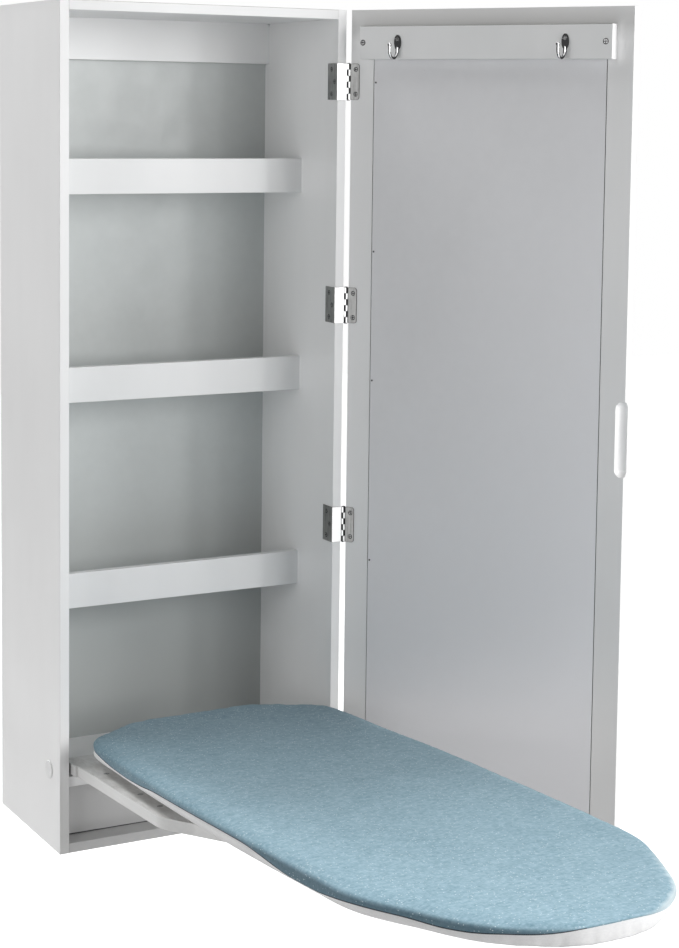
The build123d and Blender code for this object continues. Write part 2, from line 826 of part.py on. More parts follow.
mirror_edge = pocket_edge + mirror_inset
mirror_glass = door_board(
    (mirror_edge, cabinet_width - mirror_edge),
    (mirror_edge, cabinet_height - mirror_edge),
    -pocket_depth,
    mirror_thickness,
)
mirror_glass.part.label = "mirror_glass"
export_step(mirror_glass.part, "parts/mirror_glass.step")

with BuildPart() as backing_panel:
    with BuildSketch(door_plane(-backing_thickness)):
        with Locations((cabinet_width / 2, cabinet_height / 2)):
            Rectangle(
                cabinet_width - 2 * (pocket_edge + backing_gap),
                cabinet_height - 2 * (pocket_edge + backing_gap),
            )
        with Locations(*pin_spots):
            Circle(backing_pin_radius + fit_gap, mode=Mode.SUBTRACT)
    extrude(amount=backing_thickness)
backing_panel.part.label = "backing_panel"
export_step(backing_panel.part, "parts/backing_panel.step")

with BuildPart() as backing_pins:
    with BuildSketch(door_plane(pin_tip)):
        with Locations(*pin_spots):
            Circle(backing_pin_radius)
    extrude(amount=-pin_tip)
    with BuildSketch(door_plane(0)):
        with Locations(*pin_spots):
            Circle(backing_pin_head)
    extrude(amount=backing_pin_radius)
backing_pins.part.label = "backing_pins"
export_step(backing_pins.part, "parts/backing_pins.step")

# ================================================================ hook batten and hooks
hook_face = hook_batten_thickness + hook_plate_thickness
hook_places = {"left": hook_inset_left, "right": cabinet_width - hook_inset_right}
hook_screw_places = [
    Location(door_plane(hook_face)) * Pos(place, batten_middle + hook_screw_rise, 0)
    for place in hook_places.values()
]
with BuildPart() as hook_batten:
    with BuildSketch(door_plane(0)):
        with Locations(((batten_start + batten_end) / 2, batten_middle)):
            Rectangle(batten_end - batten_start, hook_batten_height)
    extrude(amount=hook_batten_thickness)
    fillet(hook_batten.faces().sort_by(Axis(door_corner, door_inward))[-1].edges(), panel_edge_round)
    with Locations(*batten_screw_places):
        CounterSinkHole(
            arm_screw_radius + fit_gap, arm_screw_head + 2 * fit_gap, hook_batten_thickness
        )
    with Locations(*[place * Pos(0, 0, -hook_plate_thickness) for place in hook_screw_places]):
        Hole(wood_screw_head - hook_plate_thickness + fit_gap, wood_screw_length)
hook_batten.part.label = "hook_batten"
export_step(hook_batten.part, "parts/hook_batten.step")

batten_screws = screw_group(
    batten_screw_places,
    arm_screw_radius,
    arm_screw_head,
    hook_batten_thickness + wood_screw_length - screw_hole_spare,
)
batten_screws.part.label = "batten_screws"
export_step(batten_screws.part, "parts/batten_screws.step")

wire_start = hook_wire_radius + 2 * fit_gap
for (name, place), screw_place in zip(hook_places.items(), hook_screw_places):
    wire_plane = Plane(
        origin=door_corner + door_along * place + door_inward * hook_batten_thickness,
        x_dir=door_inward,
        z_dir=-door_along,
    )
    wire_high = batten_middle - hook_start_drop
    wire_low = wire_high - hook_straight
    with BuildPart() as hook:
        with BuildSketch(door_plane(hook_batten_thickness)):
            with Locations((place, batten_middle)):
                Ellipse(hook_plate_width / 2, hook_plate_height / 2)
        extrude(amount=hook_plate_thickness)
        with Locations(screw_place):
            CounterSinkHole(
                wood_screw_radius + fit_gap, wood_screw_head + fit_gap, hook_plate_thickness
            )
        with BuildLine(wire_plane) as wire:
            Line((wire_start, wire_high), (wire_start, wire_low))
            ThreePointArc(
                (wire_start, wire_low),
                (wire_start + hook_bend_radius, wire_low - hook_bend_radius),
                (wire_start + 2 * hook_bend_radius, wire_low),
            )
            Line(
                (wire_start + 2 * hook_bend_radius, wire_low),
                (wire_start + 2 * hook_bend_radius, wire_low + hook_tip_rise),
            )
        with BuildSketch(Plane(origin=wire.line @ 0, z_dir=wire.line % 0)):
            Circle(hook_wire_radius)
        sweep(path=wire.line)
        with Locations(wire.line @ 1):
            Sphere(hook_tip_radius)
        with Locations(wire.line @ 0):
            Sphere(hook_wire_radius)
    hook.part.label = f"hook_{name}"
    export_step(hook.part, f"parts/hook_{name}.step")

hook_screws = screw_group(
    hook_screw_places, wood_screw_radius, wood_screw_head, wood_screw_length
)
hook_screws.part.label = "hook_screws"
export_step(hook_screws.part, "parts/hook_screws.step")


# ================================================================ hinges
def knuckle_middles(first):
    """Heights of every second knuckle, from the hinge's middle."""
    pitch = leaf_height / knuckle_count
    return [(i + 0.5) * pitch - leaf_height / 2 for i in range(first, knuckle_count, 2)]


knuckle_length = leaf_height / knuckle_count - knuckle_gap
pin_bore = hinge_pin_radius + turning_gap

for name, hinge_height in hinge_heights.items():
    middle_z = base_z + hinge_height
    with BuildPart() as cabinet_leaf:
        with BuildSketch(Plane.XY.offset(middle_z - leaf_height / 2)):
            with BuildLine():
                Polyline(
                    (half_width, front_y),
                    (inner_half, front_y),
                    (inner_half, pin_y + cabinet_leaf_length),
                    (inner_half - leaf_thickness, pin_y + cabinet_leaf_length),
                    (inner_half - leaf_thickness, pin_y),
                    (half_width, pin_y),
                    close=True,
                )
            make_face()
        extrude(amount=leaf_height)
        for rise in knuckle_middles(0):
            with BuildSketch(Plane.XY.offset(middle_z + rise - knuckle_length / 2)):
                with Locations(((half_width + pin_x) / 2, (front_y + pin_y) / 2)):
                    Rectangle(pin_offset, leaf_thickness)
                with Locations((pin_x, pin_y)):
                    Circle(knuckle_radius)
                    Circle(pin_bore, mode=Mode.SUBTRACT)
            extrude(amount=knuckle_length)
        with Locations(*cabinet_leaf_screws[name]):
            CounterSinkHole(
                wood_screw_radius + fit_gap, wood_screw_head + 2 * fit_gap, leaf_thickness
            )
    cabinet_leaf.part.label = f"hinge_leaf_cabinet_{name}"
    export_step(cabinet_leaf.part, f"parts/hinge_leaf_cabinet_{name}.step")

    with BuildPart() as door_leaf:
        with BuildSketch(door_plane(0)):
            with Locations((door_leaf_length / 2, hinge_height)):
                Rectangle(door_leaf_length, leaf_height)
        extrude(amount=leaf_thickness)
        corners = door_leaf.edges().filter_by(Axis(door_corner, door_inward))
        fillet(corners.group_by(Axis(door_corner, door_along))[-1], radius=door_leaf_corner)
        for rise in knuckle_middles(1):
            with BuildSketch(
                Plane(
                    origin=(pin_x, pin_y, middle_z + rise - knuckle_length / 2),
                    x_dir=door_along,
                    z_dir=(0, 0, 1),
                )
            ):
                with Locations((pin_offset / 2, leaf_thickness / 2)):
                    Rectangle(pin_offset, leaf_thickness)
                Circle(knuckle_radius)
                Circle(pin_bore, mode=Mode.SUBTRACT)
            extrude(amount=knuckle_length)
        with Locations(*door_leaf_screws[name]):
            CounterSinkHole(
                wood_screw_radius + fit_gap, wood_screw_head + 2 * fit_gap, leaf_thickness
            )
    door_leaf.part.label = f"hinge_leaf_door_{name}"
    export_step(door_leaf.part, f"parts/hinge_leaf_door_{name}.step")

pin_end = leaf_height / 2 + fit_gap
with BuildPart() as hinge_pins:
    for hinge_height in hinge_heights.values():
        middle_z = base_z + hinge_height
        with Locations((pin_x, pin_y, middle_z)):
            Cylinder(hinge_pin_radius, 2 * pin_end)
        with Locations((pin_x, pin_y, middle_z + pin_end)):
            Cylinder(pin_head_radius, pin_head_height, align=UP)
        with Locations((pin_x, pin_y, middle_z - pin_end)):
            Cylinder(pin_head_radius, pin_head_height, align=FRONT_IN)
hinge_pins.part.label = "hinge_pins"
export_step(hinge_pins.part, "parts/hinge_pins.step")

hinge_screws_cabinet = screw_group(
    [place for places in cabinet_leaf_screws.values() for place in places],
    wood_screw_radius,
    wood_screw_head,
    wood_screw_length,
)
hinge_screws_cabinet.part.label = "hinge_screws_cabinet"
export_step(hinge_screws_cabinet.part, "parts/hinge_screws_cabinet.step")

hinge_screws_door = screw_group(
    all_door_leaf_screws, wood_screw_radius, wood_screw_head, wood_screw_length
)
hinge_screws_door.part.label = "hinge_screws_door"
export_step(hinge_screws_door.part, "parts/hinge_screws_door.step")

# ================================================================ magnetic catch
catch_low = base_z + panel_thickness
catch_middle = catch_low + catch_height / 2
closed_door_face = front_y - 2 * leaf_thickness
catch_front = closed_door_face + strike_thickness + catch_gap
with BuildPart() as catch_housing:
    with BuildSketch(Plane.XZ.offset(-catch_front - catch_depth)):
        with Locations((0, catch_middle)):
            RectangleRounded(catch_width, catch_height, panel_edge_round)
    extrude(amount=catch_depth)
    with BuildSketch(Plane.XZ.offset(-catch_front)):
        with Locations((0, catch_middle)):
            Rectangle(magnet_width + 2 * fit_gap, magnet_height + 2 * fit_gap)
    extrude(amount=-magnet_depth, mode=Mode.SUBTRACT)
catch_housing.part.label = "catch_housing"
export_step(catch_housing.part, "parts/catch_housing.step")

catch_magnet = slab(
    (-magnet_width / 2, magnet_width / 2),
    (catch_front, catch_front + magnet_depth),
    (catch_middle - magnet_height / 2, catch_middle + magnet_height / 2),
)
catch_magnet.part.label = "catch_magnet"
export_step(catch_magnet.part, "parts/catch_magnet.step")

strike_plate = door_board(
    ((cabinet_width - strike_width) / 2, (cabinet_width + strike_width) / 2),
    (
        panel_thickness + (catch_height - strike_height) / 2,
        panel_thickness + (catch_height + strike_height) / 2,
    ),
    0,
    strike_thickness,
)
strike_plate.part.label = "strike_plate"
export_step(strike_plate.part, "parts/strike_plate.step")
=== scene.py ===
import math

import bpy
import numpy as np
from mathutils import Matrix, Vector
from mathutils.geometry import delaunay_2d_cdt


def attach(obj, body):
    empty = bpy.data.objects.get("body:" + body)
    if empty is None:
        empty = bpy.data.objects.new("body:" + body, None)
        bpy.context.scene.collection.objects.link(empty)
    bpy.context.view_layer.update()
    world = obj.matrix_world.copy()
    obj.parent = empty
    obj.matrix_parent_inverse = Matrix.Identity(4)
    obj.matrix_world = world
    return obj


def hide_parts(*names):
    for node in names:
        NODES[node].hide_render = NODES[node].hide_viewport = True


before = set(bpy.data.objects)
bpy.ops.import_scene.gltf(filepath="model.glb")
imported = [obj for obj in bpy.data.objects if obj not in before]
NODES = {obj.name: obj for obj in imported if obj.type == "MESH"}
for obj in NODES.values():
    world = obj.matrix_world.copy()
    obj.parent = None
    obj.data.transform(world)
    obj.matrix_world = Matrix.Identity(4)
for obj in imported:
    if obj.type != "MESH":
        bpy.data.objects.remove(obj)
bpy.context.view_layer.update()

# Metres, in the part's frame: origin midway between the wall hangers, the front faces -Y.
SCENE = bpy.context.scene
MM = 0.001
UP, TO_WALL, TO_VIEWER = (0, 0, 1), (0, 1, 0), (0, -1, 0)
BOTTOM = -1155 * MM
PANEL = 14 * MM

# ---------------------------------------------------------------- board's own frame
# Local x is +X, local -y runs from the pivot to the nose, local z points up through the pad.
TILT = math.radians(3.4)
PIVOT = (0.0, -0.202, -1.043)
BOARD = Matrix(
    (
        (1, 0, 0, PIVOT[0]),
        (0, math.cos(TILT), math.sin(TILT), PIVOT[1]),
        (0, -math.sin(TILT), math.cos(TILT), PIVOT[2]),
        (0, 0, 0, 1),
    )
)
CORE_LOW = 32.4 * MM
CORE_TOP = 44.4 * MM
PAD_TOP = 54.4 * MM
BOARD_END = 1056 * MM


# ================================================================ node helpers
def rgb(red, green, blue):
    """A colour given as 8-bit sRGB values, in Blender's linear form."""
    values = [v / 255 for v in (red, green, blue)]
    linear = [v / 12.92 if v <= 0.04045 else ((v + 0.055) / 1.055) ** 2.4 for v in values]
    return (*linear, 1.0)


def grey(level):
    return rgb(level, level, level)


def add_node(tree, kind, inputs=None, **settings):
    """A new node with these settings. Its inputs are linked to sockets or set to values."""
    made = tree.nodes.new(kind)
    for key, value in settings.items():
        setattr(made, key, value)
    for key, value in (inputs or {}).items():
        if isinstance(value, bpy.types.NodeSocket):
            tree.links.new(value, made.inputs[key])
        else:
            made.inputs[key].default_value = value
    return made


def seen_plain(tree):
    """1 for the camera and in gloss and glass, where the surroundings look plain white."""
    path = add_node(tree, "ShaderNodeLightPath").outputs
    seen = path["Is Camera Ray"]
    for ray in ("Is Glossy Ray", "Is Transmission Ray"):
        seen = add_node(tree, "ShaderNodeMath", {0: seen, 1: path[ray]}, operation="MAXIMUM").outputs[0]
    return seen


class Finish:
    """A material around one Principled shader, with short ways to add nodes."""

    def __init__(self, name, **sockets):
        self.material = bpy.data.materials.new(name)
        self.material.use_nodes = True
        self.tree = self.material.node_tree
        self.shader = self.tree.nodes["Principled BSDF"]
        for socket, value in sockets.items():
            self.shader.inputs[socket.replace("_", " ")].default_value = value

    def add(self, kind, inputs=None, **settings):
        return add_node(self.tree, kind, inputs, **settings)

    def put(self, socket, value):
        self.tree.links.new(value, self.shader.inputs[socket])

    def coords(self, stretch=(1, 1, 1)):
        place = self.add("ShaderNodeTexCoord").outputs["Object"]
        return self.add("ShaderNodeMapping", {"Vector": place, "Scale": stretch}).outputs[0]

    def place(self):
        """The piece's own coordinates, as outputs X, Y and Z."""
        return self.add("ShaderNodeSeparateXYZ", {0: self.coords()}).outputs

    def noise(self, scale, detail=3.0, rough=0.5, stretch=(1, 1, 1), warp=0.0):
        return self.add(
            "ShaderNodeTexNoise",
            {
                "Vector": self.coords(stretch),
                "Scale": scale,
                "Detail": detail,
                "Roughness": rough,
                "Distortion": warp,
            },
        ).outputs["Fac"]

    def spread(self, value, low, high, to_low=0.0, to_high=1.0):
        inputs = {
            "Value": value,
            "From Min": low,
            "From Max": high,
            "To Min": to_low,
            "To Max": to_high,
        }
        return self.add("ShaderNodeMapRange", inputs).outputs[0]

    def wander(self, to_low, to_high, value):
        """Noise spread from one level to another over the range where most of it lies."""
        return self.spread(value, 0.3, 0.7, to_low, to_high)

    def math(self, operation, first, second=0.0):
        return self.add("ShaderNodeMath", {0: first, 1: second}, operation=operation).outputs[0]

    def plus(self, first, second):
        return self.math("ADD", first, second)

    def times(self, first, second):
        return self.math("MULTIPLY", first, second)

    def vector(self, operation, first, second=(0, 0, 0)):
        inputs = {0: first, 1: second}
        return self.add("ShaderNodeVectorMath", inputs, operation=operation).outputs

    def blend(self, share, first, second):
        inputs = {0: share, 6: first, 7: second}
        return self.add("ShaderNodeMix", inputs, data_type="RGBA").outputs[2]

    def bump(self, height, strength, depth, over=None):
        inputs = {"Height": height, "Strength": strength, "Distance": depth}
        if over is not None:
            inputs["Normal"] = over
        return self.add("ShaderNodeBump", inputs).outputs[0]

    def cells(self, scale, stretch=(1, 1, 1)):
        inputs = {"Vector": self.coords(stretch), "Scale": scale}
        return self.add("ShaderNodeTexVoronoi", inputs).outputs

    def chosen(self, cell, least):
        """1 in the cells whose random number is over the least, 0 in the others."""
        parts = self.add("ShaderNodeSeparateColor", {0: cell["Color"]}).outputs
        return self.math("GREATER_THAN", parts[0], least)

    def threads(self, pitch, wobble):
        """High along the threads of a plain weave."""
        inputs = {"Vector": self.coords(), "Scale": pitch, "Distortion": wobble}
        weft, warp = (
            self.add("ShaderNodeTexWave", inputs, bands_direction=axis).outputs["Fac"]
            for axis in "XY"
        )
        return self.math("MAXIMUM", weft, warp)

    def crevices(self, reach, low, high):
        """1 in gaps and tight corners that little light gets into, 0 on open faces."""
        clear = self.add("ShaderNodeAmbientOcclusion", {"Distance": reach}, samples=8)
        return self.spread(clear.outputs["AO"], high, low)

    def soft_edges(self, radius):
        return self.add("ShaderNodeBevel", {"Radius": radius}, samples=4).outputs[0]

    def rims(self, radius, low, high):
        """1 along a piece's corners and rims, 0 on its open faces."""
        plain = self.add("ShaderNodeNewGeometry").outputs["Normal"]
        rounded = self.add("ShaderNodeBevel", {"Radius": radius}, samples=8).outputs[0]
        return self.spread(self.vector("DOT_PRODUCT", plain, rounded)["Value"], high, low)

    def lean(self, direction):
        """How far a surface faces along a direction of the piece, from -1 to 1."""
        facing = self.add("ShaderNodeTexCoord").outputs["Normal"]
        return self.vector("DOT_PRODUCT", facing, direction)["Value"]


# ================================================================ materials
PRIMER_AND_SHADE = rgb(194, 193, 190)
LIT_WHITE = grey(251)
BOARD_SHADOW_GREY = rgb(204, 204, 203)
BATTEN_SHADE_GREY = rgb(198, 198, 197)
CORNER_DUST_AND_SHADE = rgb(70, 70, 71)
JOINT_SHADE = rgb(62, 62, 63)
GRIME_AND_SHADE = rgb(34, 34, 35)
STEEL_HIGHLIGHT = grey(238)


def painted(
    name, light, dark, primed_and_shaded=True, lit_side=None, ledge_shade=None, foot=None, board_shadow_below=None, shade_above_batten=None
):
    """Sprayed satin lacquer: faint cloudiness, slightly uneven gloss and soft brush-free waves.

    Faces towards the wall can have primer alone, greyer than the paint: partly painted shade
    that holds the rear lamps' light down. Dust and painted shade darken gaps and tight corners.
    Where asked, a matt colour lies on the ledges of a piece as painted shade, an open joint shows
    dark along its foot, a front edge is greyed below a height as a painted shadow of the board,
    painted shade darkens the face above a batten's upper edge, and faces that lean one way are
    whiter, a painted highlight.
    """
    coat, specular = 0.1, 0.5
    f = Finish(name, Coat_Weight=coat, Coat_Roughness=0.3)
    cloud = f.wander(0.0, 0.7, f.noise(6.0, 2.0, 0.4))
    streak = f.wander(0.0, 0.3, f.noise(26.0, 2.0, 0.4, (1, 1, 0.25)))
    paint = f.blend(f.plus(cloud, streak), light, dark)
    # Dust and painted shade darken gaps and tight corners.
    paint = f.blend(f.times(f.crevices(6 * MM, 0.15, 0.5), 0.85), paint, CORNER_DUST_AND_SHADE)
    # Faces towards the wall take primer, greyer than the paint: partly painted shade that holds the
    # rear lamps' light down.
    if primed_and_shaded:
        paint = f.blend(f.spread(f.lean(TO_WALL), 0.7, 0.9), paint, PRIMER_AND_SHADE)
    # Painted shade on upward faces, matt and with less gloss: a dark line along the batten's top, and
    # the top panel's greyer face under the rear lamps.
    if ledge_shade:
        lying = f.times(f.spread(f.lean(UP), 0.0, 0.15), f.spread(cloud, 0.0, 0.7, 0.9, 1.0))
        paint = f.blend(lying, paint, ledge_shade)
        f.put("Specular IOR Level", f.spread(lying, 0.0, 1.0, specular, 0.0))
        f.put("Coat Weight", f.spread(lying, 0.0, 1.0, coat, 0.0))
    height = f.place()["Z"]
    # Painted shade on the face above a batten, darkest at its upper edge and fading away from it.
    if shade_above_batten is not None:
        above = f.spread(height, shade_above_batten + 38 * MM, shade_above_batten, 0.0, 0.8)
        below = f.spread(height, shade_above_batten - 25 * MM, shade_above_batten)
        paint = f.blend(f.times(above, below), paint, BATTEN_SHADE_GREY)
    # Painted shadow of the lowered board on a front edge below a height.
    if board_shadow_below is not None:
        low = f.spread(height, board_shadow_below, board_shadow_below - 0.1)
        share = f.times(f.spread(f.lean(TO_VIEWER), 0.6, 0.9), low)
        paint = f.blend(f.times(share, f.spread(cloud, 0.0, 0.7, 0.85, 1.0)), paint, BOARD_SHADOW_GREY)
    if foot is not None:
        ragged = f.plus(height, f.wander(-0.4 * MM, 0.4 * MM, f.noise(18.0, 3.0)))
        paint = f.blend(f.spread(ragged, foot + 1.7 * MM, foot + 1.1 * MM), paint, JOINT_SHADE)
    # Painted highlight: faces that lean the lit way are whiter.
    if lit_side:
        paint = f.blend(f.spread(f.lean(lit_side), 0.1, 0.5), paint, LIT_WHITE)
    f.put("Base Color", paint)
    f.put("Roughness", f.wander(0.31, 0.39, f.noise(5.0, 2.0, 0.4)))
    f.put("Normal", f.bump(f.noise(55.0, 2.0, 0.4), 0.05, 0.2 * MM, f.soft_edges(0.5 * MM)))
    return f.material


def fabric_blue():
    """Plain-weave cotton in dusty blue, with slubs and scattered pale flecks of thread."""
    f = Finish(
        "cover_blue_weave",
        Sheen_Weight=0.12,
        Sheen_Roughness=0.6,
        Roughness=0.88,
        Specular_IOR_Level=0.25,
    )
    weft = f.noise(520.0, 3.0, 0.65, (0.22, 1, 1))
    warp = f.noise(520.0, 3.0, 0.65, (1, 0.22, 1))
    slub = f.times(f.plus(weft, warp), 0.5)
    mottle = f.noise(230.0, 3.0, 0.6, (0.6, 1, 1))
    tone = f.plus(f.spread(slub, 0.36, 0.64, 0.0, 0.5), f.spread(mottle, 0.32, 0.68, 0.0, 0.5))
    cloud = f.wander(0.0, 1.0, f.noise(16.0, 5.0, 0.65))
    deep = f.blend(cloud, rgb(109, 147, 164), rgb(121, 158, 174))
    pale = f.blend(cloud, rgb(162, 192, 206), rgb(173, 201, 214))
    ground = f.blend(tone, deep, pale)
    place = f.place()
    # Painted shade: the cover darkens towards the rear and the right, where the cabinet shades it.
    rear_shade_run = f.plus(place["Y"], f.times(place["X"], 0.5))
    ground = f.blend(f.spread(rear_shade_run, -0.46, -0.02, 0.0, 0.42), ground, rgb(62, 92, 106))
    flecks = None
    for scale, stretch, reach, least in (
        (134.0, (0.5, 1.25, 1), 0.095, 0.46),
        (190.0, (0.6, 1.4, 1), 0.15, 0.56),
        (300.0, (0.9, 0.6, 1), 0.21, 0.60),
    ):
        cell = f.cells(scale, stretch)
        ragged = f.plus(cell["Distance"], f.wander(-0.05, 0.05, slub))
        dot = f.times(f.spread(ragged, reach, reach * 0.5), f.chosen(cell, least))
        flecks = dot if flecks is None else f.math("MAXIMUM", flecks, dot)
    # Painted shade: the side that turns down is darker, most towards the nose.
    side = f.spread(place["Z"], 51.2 * MM, 45.5 * MM)
    turned = f.times(side, f.spread(place["Y"], -0.45, -0.64, 0.3, 0.68))
    ground = f.blend(turned, ground, rgb(66, 92, 106))
    # Painted highlight: the nose's right rim is pale.
    rim_highlight = f.times(f.spread(place["Z"], 52.6 * MM, 50 * MM), f.spread(place["X"], 0.02, 0.08))
    rim_highlight = f.times(rim_highlight, f.spread(place["Y"], -0.86, -0.95, 0.0, 0.85))
    ground = f.blend(rim_highlight, ground, rgb(222, 236, 241))
    f.put("Base Color", f.blend(f.times(flecks, 0.9), ground, rgb(226, 240, 243)))
    weave = f.bump(f.threads(420.0, 1.2), 0.35, 0.12 * MM)
    f.put("Normal", f.bump(f.plus(tone, f.times(flecks, 0.5)), 0.55, 0.3 * MM, weave))
    return f.material


def fabric_plain(name, light, dark, pitch=420.0):
    """A thin plain cloth, used for the white lining and the dark band along the hem."""
    f = Finish(
        name, Sheen_Weight=0.1, Sheen_Roughness=0.6, Roughness=0.85, Specular_IOR_Level=0.25
    )
    slub = f.noise(700.0, 3.0, 0.6, (0.3, 1, 1))
    stain = f.noise(22.0, 4.0, 0.6)
    share = f.plus(f.spread(slub, 0.35, 0.65, 0.0, 0.5), f.spread(stain, 0.35, 0.65, 0.0, 0.5))
    f.put("Base Color", f.blend(share, light, dark))
    weave = f.bump(f.threads(pitch, 1.0), 0.3, 0.1 * MM)
    f.put("Normal", f.bump(slub, 0.4, 0.2 * MM, weave))
    return f.material


def board_sheet(name, light, dark, gloss, slope, light_and_shade_tone, speck=0.0, rim=0.0):
    """A smooth laminated sheet: faint mottle, tiny pits and dust nibs, bare cut edges in painted shade.

    Along a slope it turns to another tone, as painted light and shade: the weights of X and Z,
    and where it starts and ends. Its rear face is bare and greyer, partly painted shade against
    the rear lamps.
    """
    f = Finish(name)
    cloud = f.wander(0.0, 0.75, f.noise(3.5, 3.0, 0.5))
    grain = f.wander(0.0, 0.25, f.noise(60.0, 2.0, 0.5))
    ground = f.blend(f.plus(cloud, grain), light, dark)
    (along_x, along_z), start, end = slope
    place = f.place()
    run = f.plus(f.times(place["X"], along_x), f.times(place["Z"], along_z))
    # Painted light and shade along the slope.
    ground = f.blend(f.spread(run, start, end), ground, light_and_shade_tone)
    # The rear face is bare and greyer, partly painted shade that holds the rear lamps' light down.
    ground = f.blend(f.spread(f.lean(TO_WALL), 0.7, 0.9), ground, rgb(190, 188, 183))
    if speck:
        cell = f.cells(46.0)
        nib = f.times(f.spread(cell["Distance"], 0.03, 0.012), f.chosen(cell, 0.4))
        ground = f.blend(f.times(nib, speck), ground, rgb(90, 92, 95))
    # Painted shade: the cut edges darken where the sheet meets the parts round it.
    if rim:
        ground = f.blend(f.rims(rim, 0.9, 0.99), ground, rgb(58, 58, 60))
    f.put("Base Color", ground)
    f.put("Roughness", f.wander(gloss - 0.04, gloss + 0.08, f.noise(20.0, 4.0)))
    f.put("Normal", f.bump(f.noise(80.0, 2.0), 0.06, 0.15 * MM))
    return f.material


def metal(
    name, bright, dull, gloss, brushed=(1, 1, 1), scratch=0.25, grime_and_shade=0.0, reach=2.2 * MM,
    edge=0.25 * MM, rim=0.0, turned=None, highlight_side=None
):
    """Bare or plated metal: brushed grain, uneven gloss, dull patches, crevice soiling and painted
    shade.

    Its rims darken within a distance, a painted shade line. A turned barrel has painted light and
    shade, one dark and one bright half: given as the axis in plan, the plan direction of the bright
    half, and the barrel's radius. Faces that lean one given way are bright, a painted highlight.
    """
    f = Finish(name, Metallic=1.0)
    grain = f.noise(260.0, 4.0, 0.6, brushed)
    patch = f.noise(60.0, 5.0, 0.7)
    worn = f.times(f.wander(0.0, 1.0, grain), f.spread(patch, 0.35, 0.7, 0.4, 1.0))
    ground = f.blend(worn, bright, dull)
    # Painted highlight on faces that lean the given way.
    if highlight_side:
        ground = f.blend(f.spread(f.lean(highlight_side), 0.6, 0.9, 0.0, 0.85), ground, STEEL_HIGHLIGHT)
    # Painted light and shade on the barrel: bright on one side, dark on the other.
    if turned:
        axis, toward, radius = turned
        place = f.vector("SUBTRACT", f.coords(), (*axis, 0))[0]
        plan = f.vector("MULTIPLY", place, (1, 1, 0))[0]
        away = f.vector("LENGTH", plan)["Value"]
        side = f.vector("DOT_PRODUCT", plan, (*toward, 0))["Value"]
        half = f.spread(side, -0.5 * MM, 0.6 * MM)
        barrel = f.blend(half, rgb(40, 40, 41), STEEL_HIGHLIGHT)
        ground = f.blend(f.spread(away, radius + 0.5 * MM, radius + 0.1 * MM), ground, barrel)
    # Painted shade: a dark line along the rims.
    if rim:
        ground = f.blend(f.rims(rim, 0.93, 0.996), ground, rgb(46, 46, 47))
    # Painted shade in the crevices, where little light gets in, and the soiling there.
    if grime_and_shade:
        ground = f.blend(f.times(f.crevices(reach, 0.45, 0.92), grime_and_shade), ground, GRIME_AND_SHADE)
    f.put("Base Color", ground)
    f.put("Roughness", f.wander(gloss - 0.06, gloss + 0.10, patch))
    f.put("Normal", f.bump(grain, scratch, 0.08 * MM, f.soft_edges(edge)))
    return f.material


def chromed(name, across, bright, dark):
    """Bright plating with a painted reflection in bands: a light streak between dark flanks."""
    f = Finish(name, Metallic=1.0)
    waver = f.wander(-0.06, 0.06, f.noise(90.0, 3.0, 0.5))
    # Painted reflection: bright on faces that lean a little to the camera's right, dark on faces turned
    # further either way.
    lean = f.plus(f.lean(across), waver)
    streak = f.spread(f.math("ABSOLUTE", f.math("SUBTRACT", lean, 0.12)), 0.5, 0.22)
    ground = f.blend(streak, dark, bright)
    # Painted shade in the crevices, and the soiling there.
    dirt_and_shade = f.times(f.crevices(2.2 * MM, 0.4, 0.85), 0.8)
    f.put("Base Color", f.blend(dirt_and_shade, ground, GRIME_AND_SHADE))
    f.put("Roughness", f.wander(0.08, 0.2, f.noise(60.0, 4.0, 0.6)))
    f.put("Normal", f.bump(f.noise(160.0, 3.0), 0.06, 0.08 * MM, f.soft_edges(0.25 * MM)))
    return f.material


def moulded(name, light, dark, gloss=0.35, rim=0.0):
    """Injection-moulded plastic: fine spark texture, a faint flow mottle and a grubby rim."""
    f = Finish(name)
    ground = f.blend(f.wander(0.0, 1.0, f.noise(40.0, 4.0)), light, dark)
    if rim:
        ground = f.blend(f.times(f.rims(rim, 0.93, 0.996), 0.7), ground, grey(128))
    f.put("Base Color", ground)
    f.put("Roughness", f.wander(gloss - 0.05, gloss + 0.08, f.noise(180.0, 3.0)))
    f.put("Normal", f.bump(f.noise(2400.0, 2.0), 0.15, 0.05 * MM, f.soft_edges(0.4 * MM)))
    return f.material


def rubbery(name, light, dark):
    """Matt black rubber with a grainy skin."""
    f = Finish(name)
    f.put("Base Color", f.blend(f.wander(0.0, 1.0, f.noise(120.0, 4.0)), light, dark))
    f.put("Roughness", f.wander(0.65, 0.85, f.noise(60.0, 3.0)))
    f.put("Normal", f.bump(f.noise(900.0, 3.0), 0.3, 0.1 * MM))
    return f.material


def painted_wood(name, light, dark, upper_scuff_and_shade):
    """Brushed paint over planed wood: grain shows through; upper faces are scuffed, partly painted
    shade.
    """
    f = Finish(name, Coat_Weight=0.08, Coat_Roughness=0.3)
    grain = f.noise(70.0, 5.0, 0.6, (1, 0.06, 1), 0.6)
    ground = f.blend(f.spread(grain, 0.32, 0.68), light, dark)
    patchy = f.spread(f.noise(60.0, 5.0, 0.7, (1, 0.45, 1)), 0.38, 0.66)
    # Scuffs and painted shade on upper faces.
    worn = f.times(patchy, f.spread(f.lean(UP), 0.6, 0.95))
    f.put("Base Color", f.blend(f.times(worn, 0.75), ground, upper_scuff_and_shade))
    f.put("Roughness", f.wander(0.32, 0.5, f.noise(50.0, 4.0)))
    f.put("Normal", f.bump(grain, 0.15, 0.3 * MM, f.soft_edges(0.8 * MM)))
    return f.material


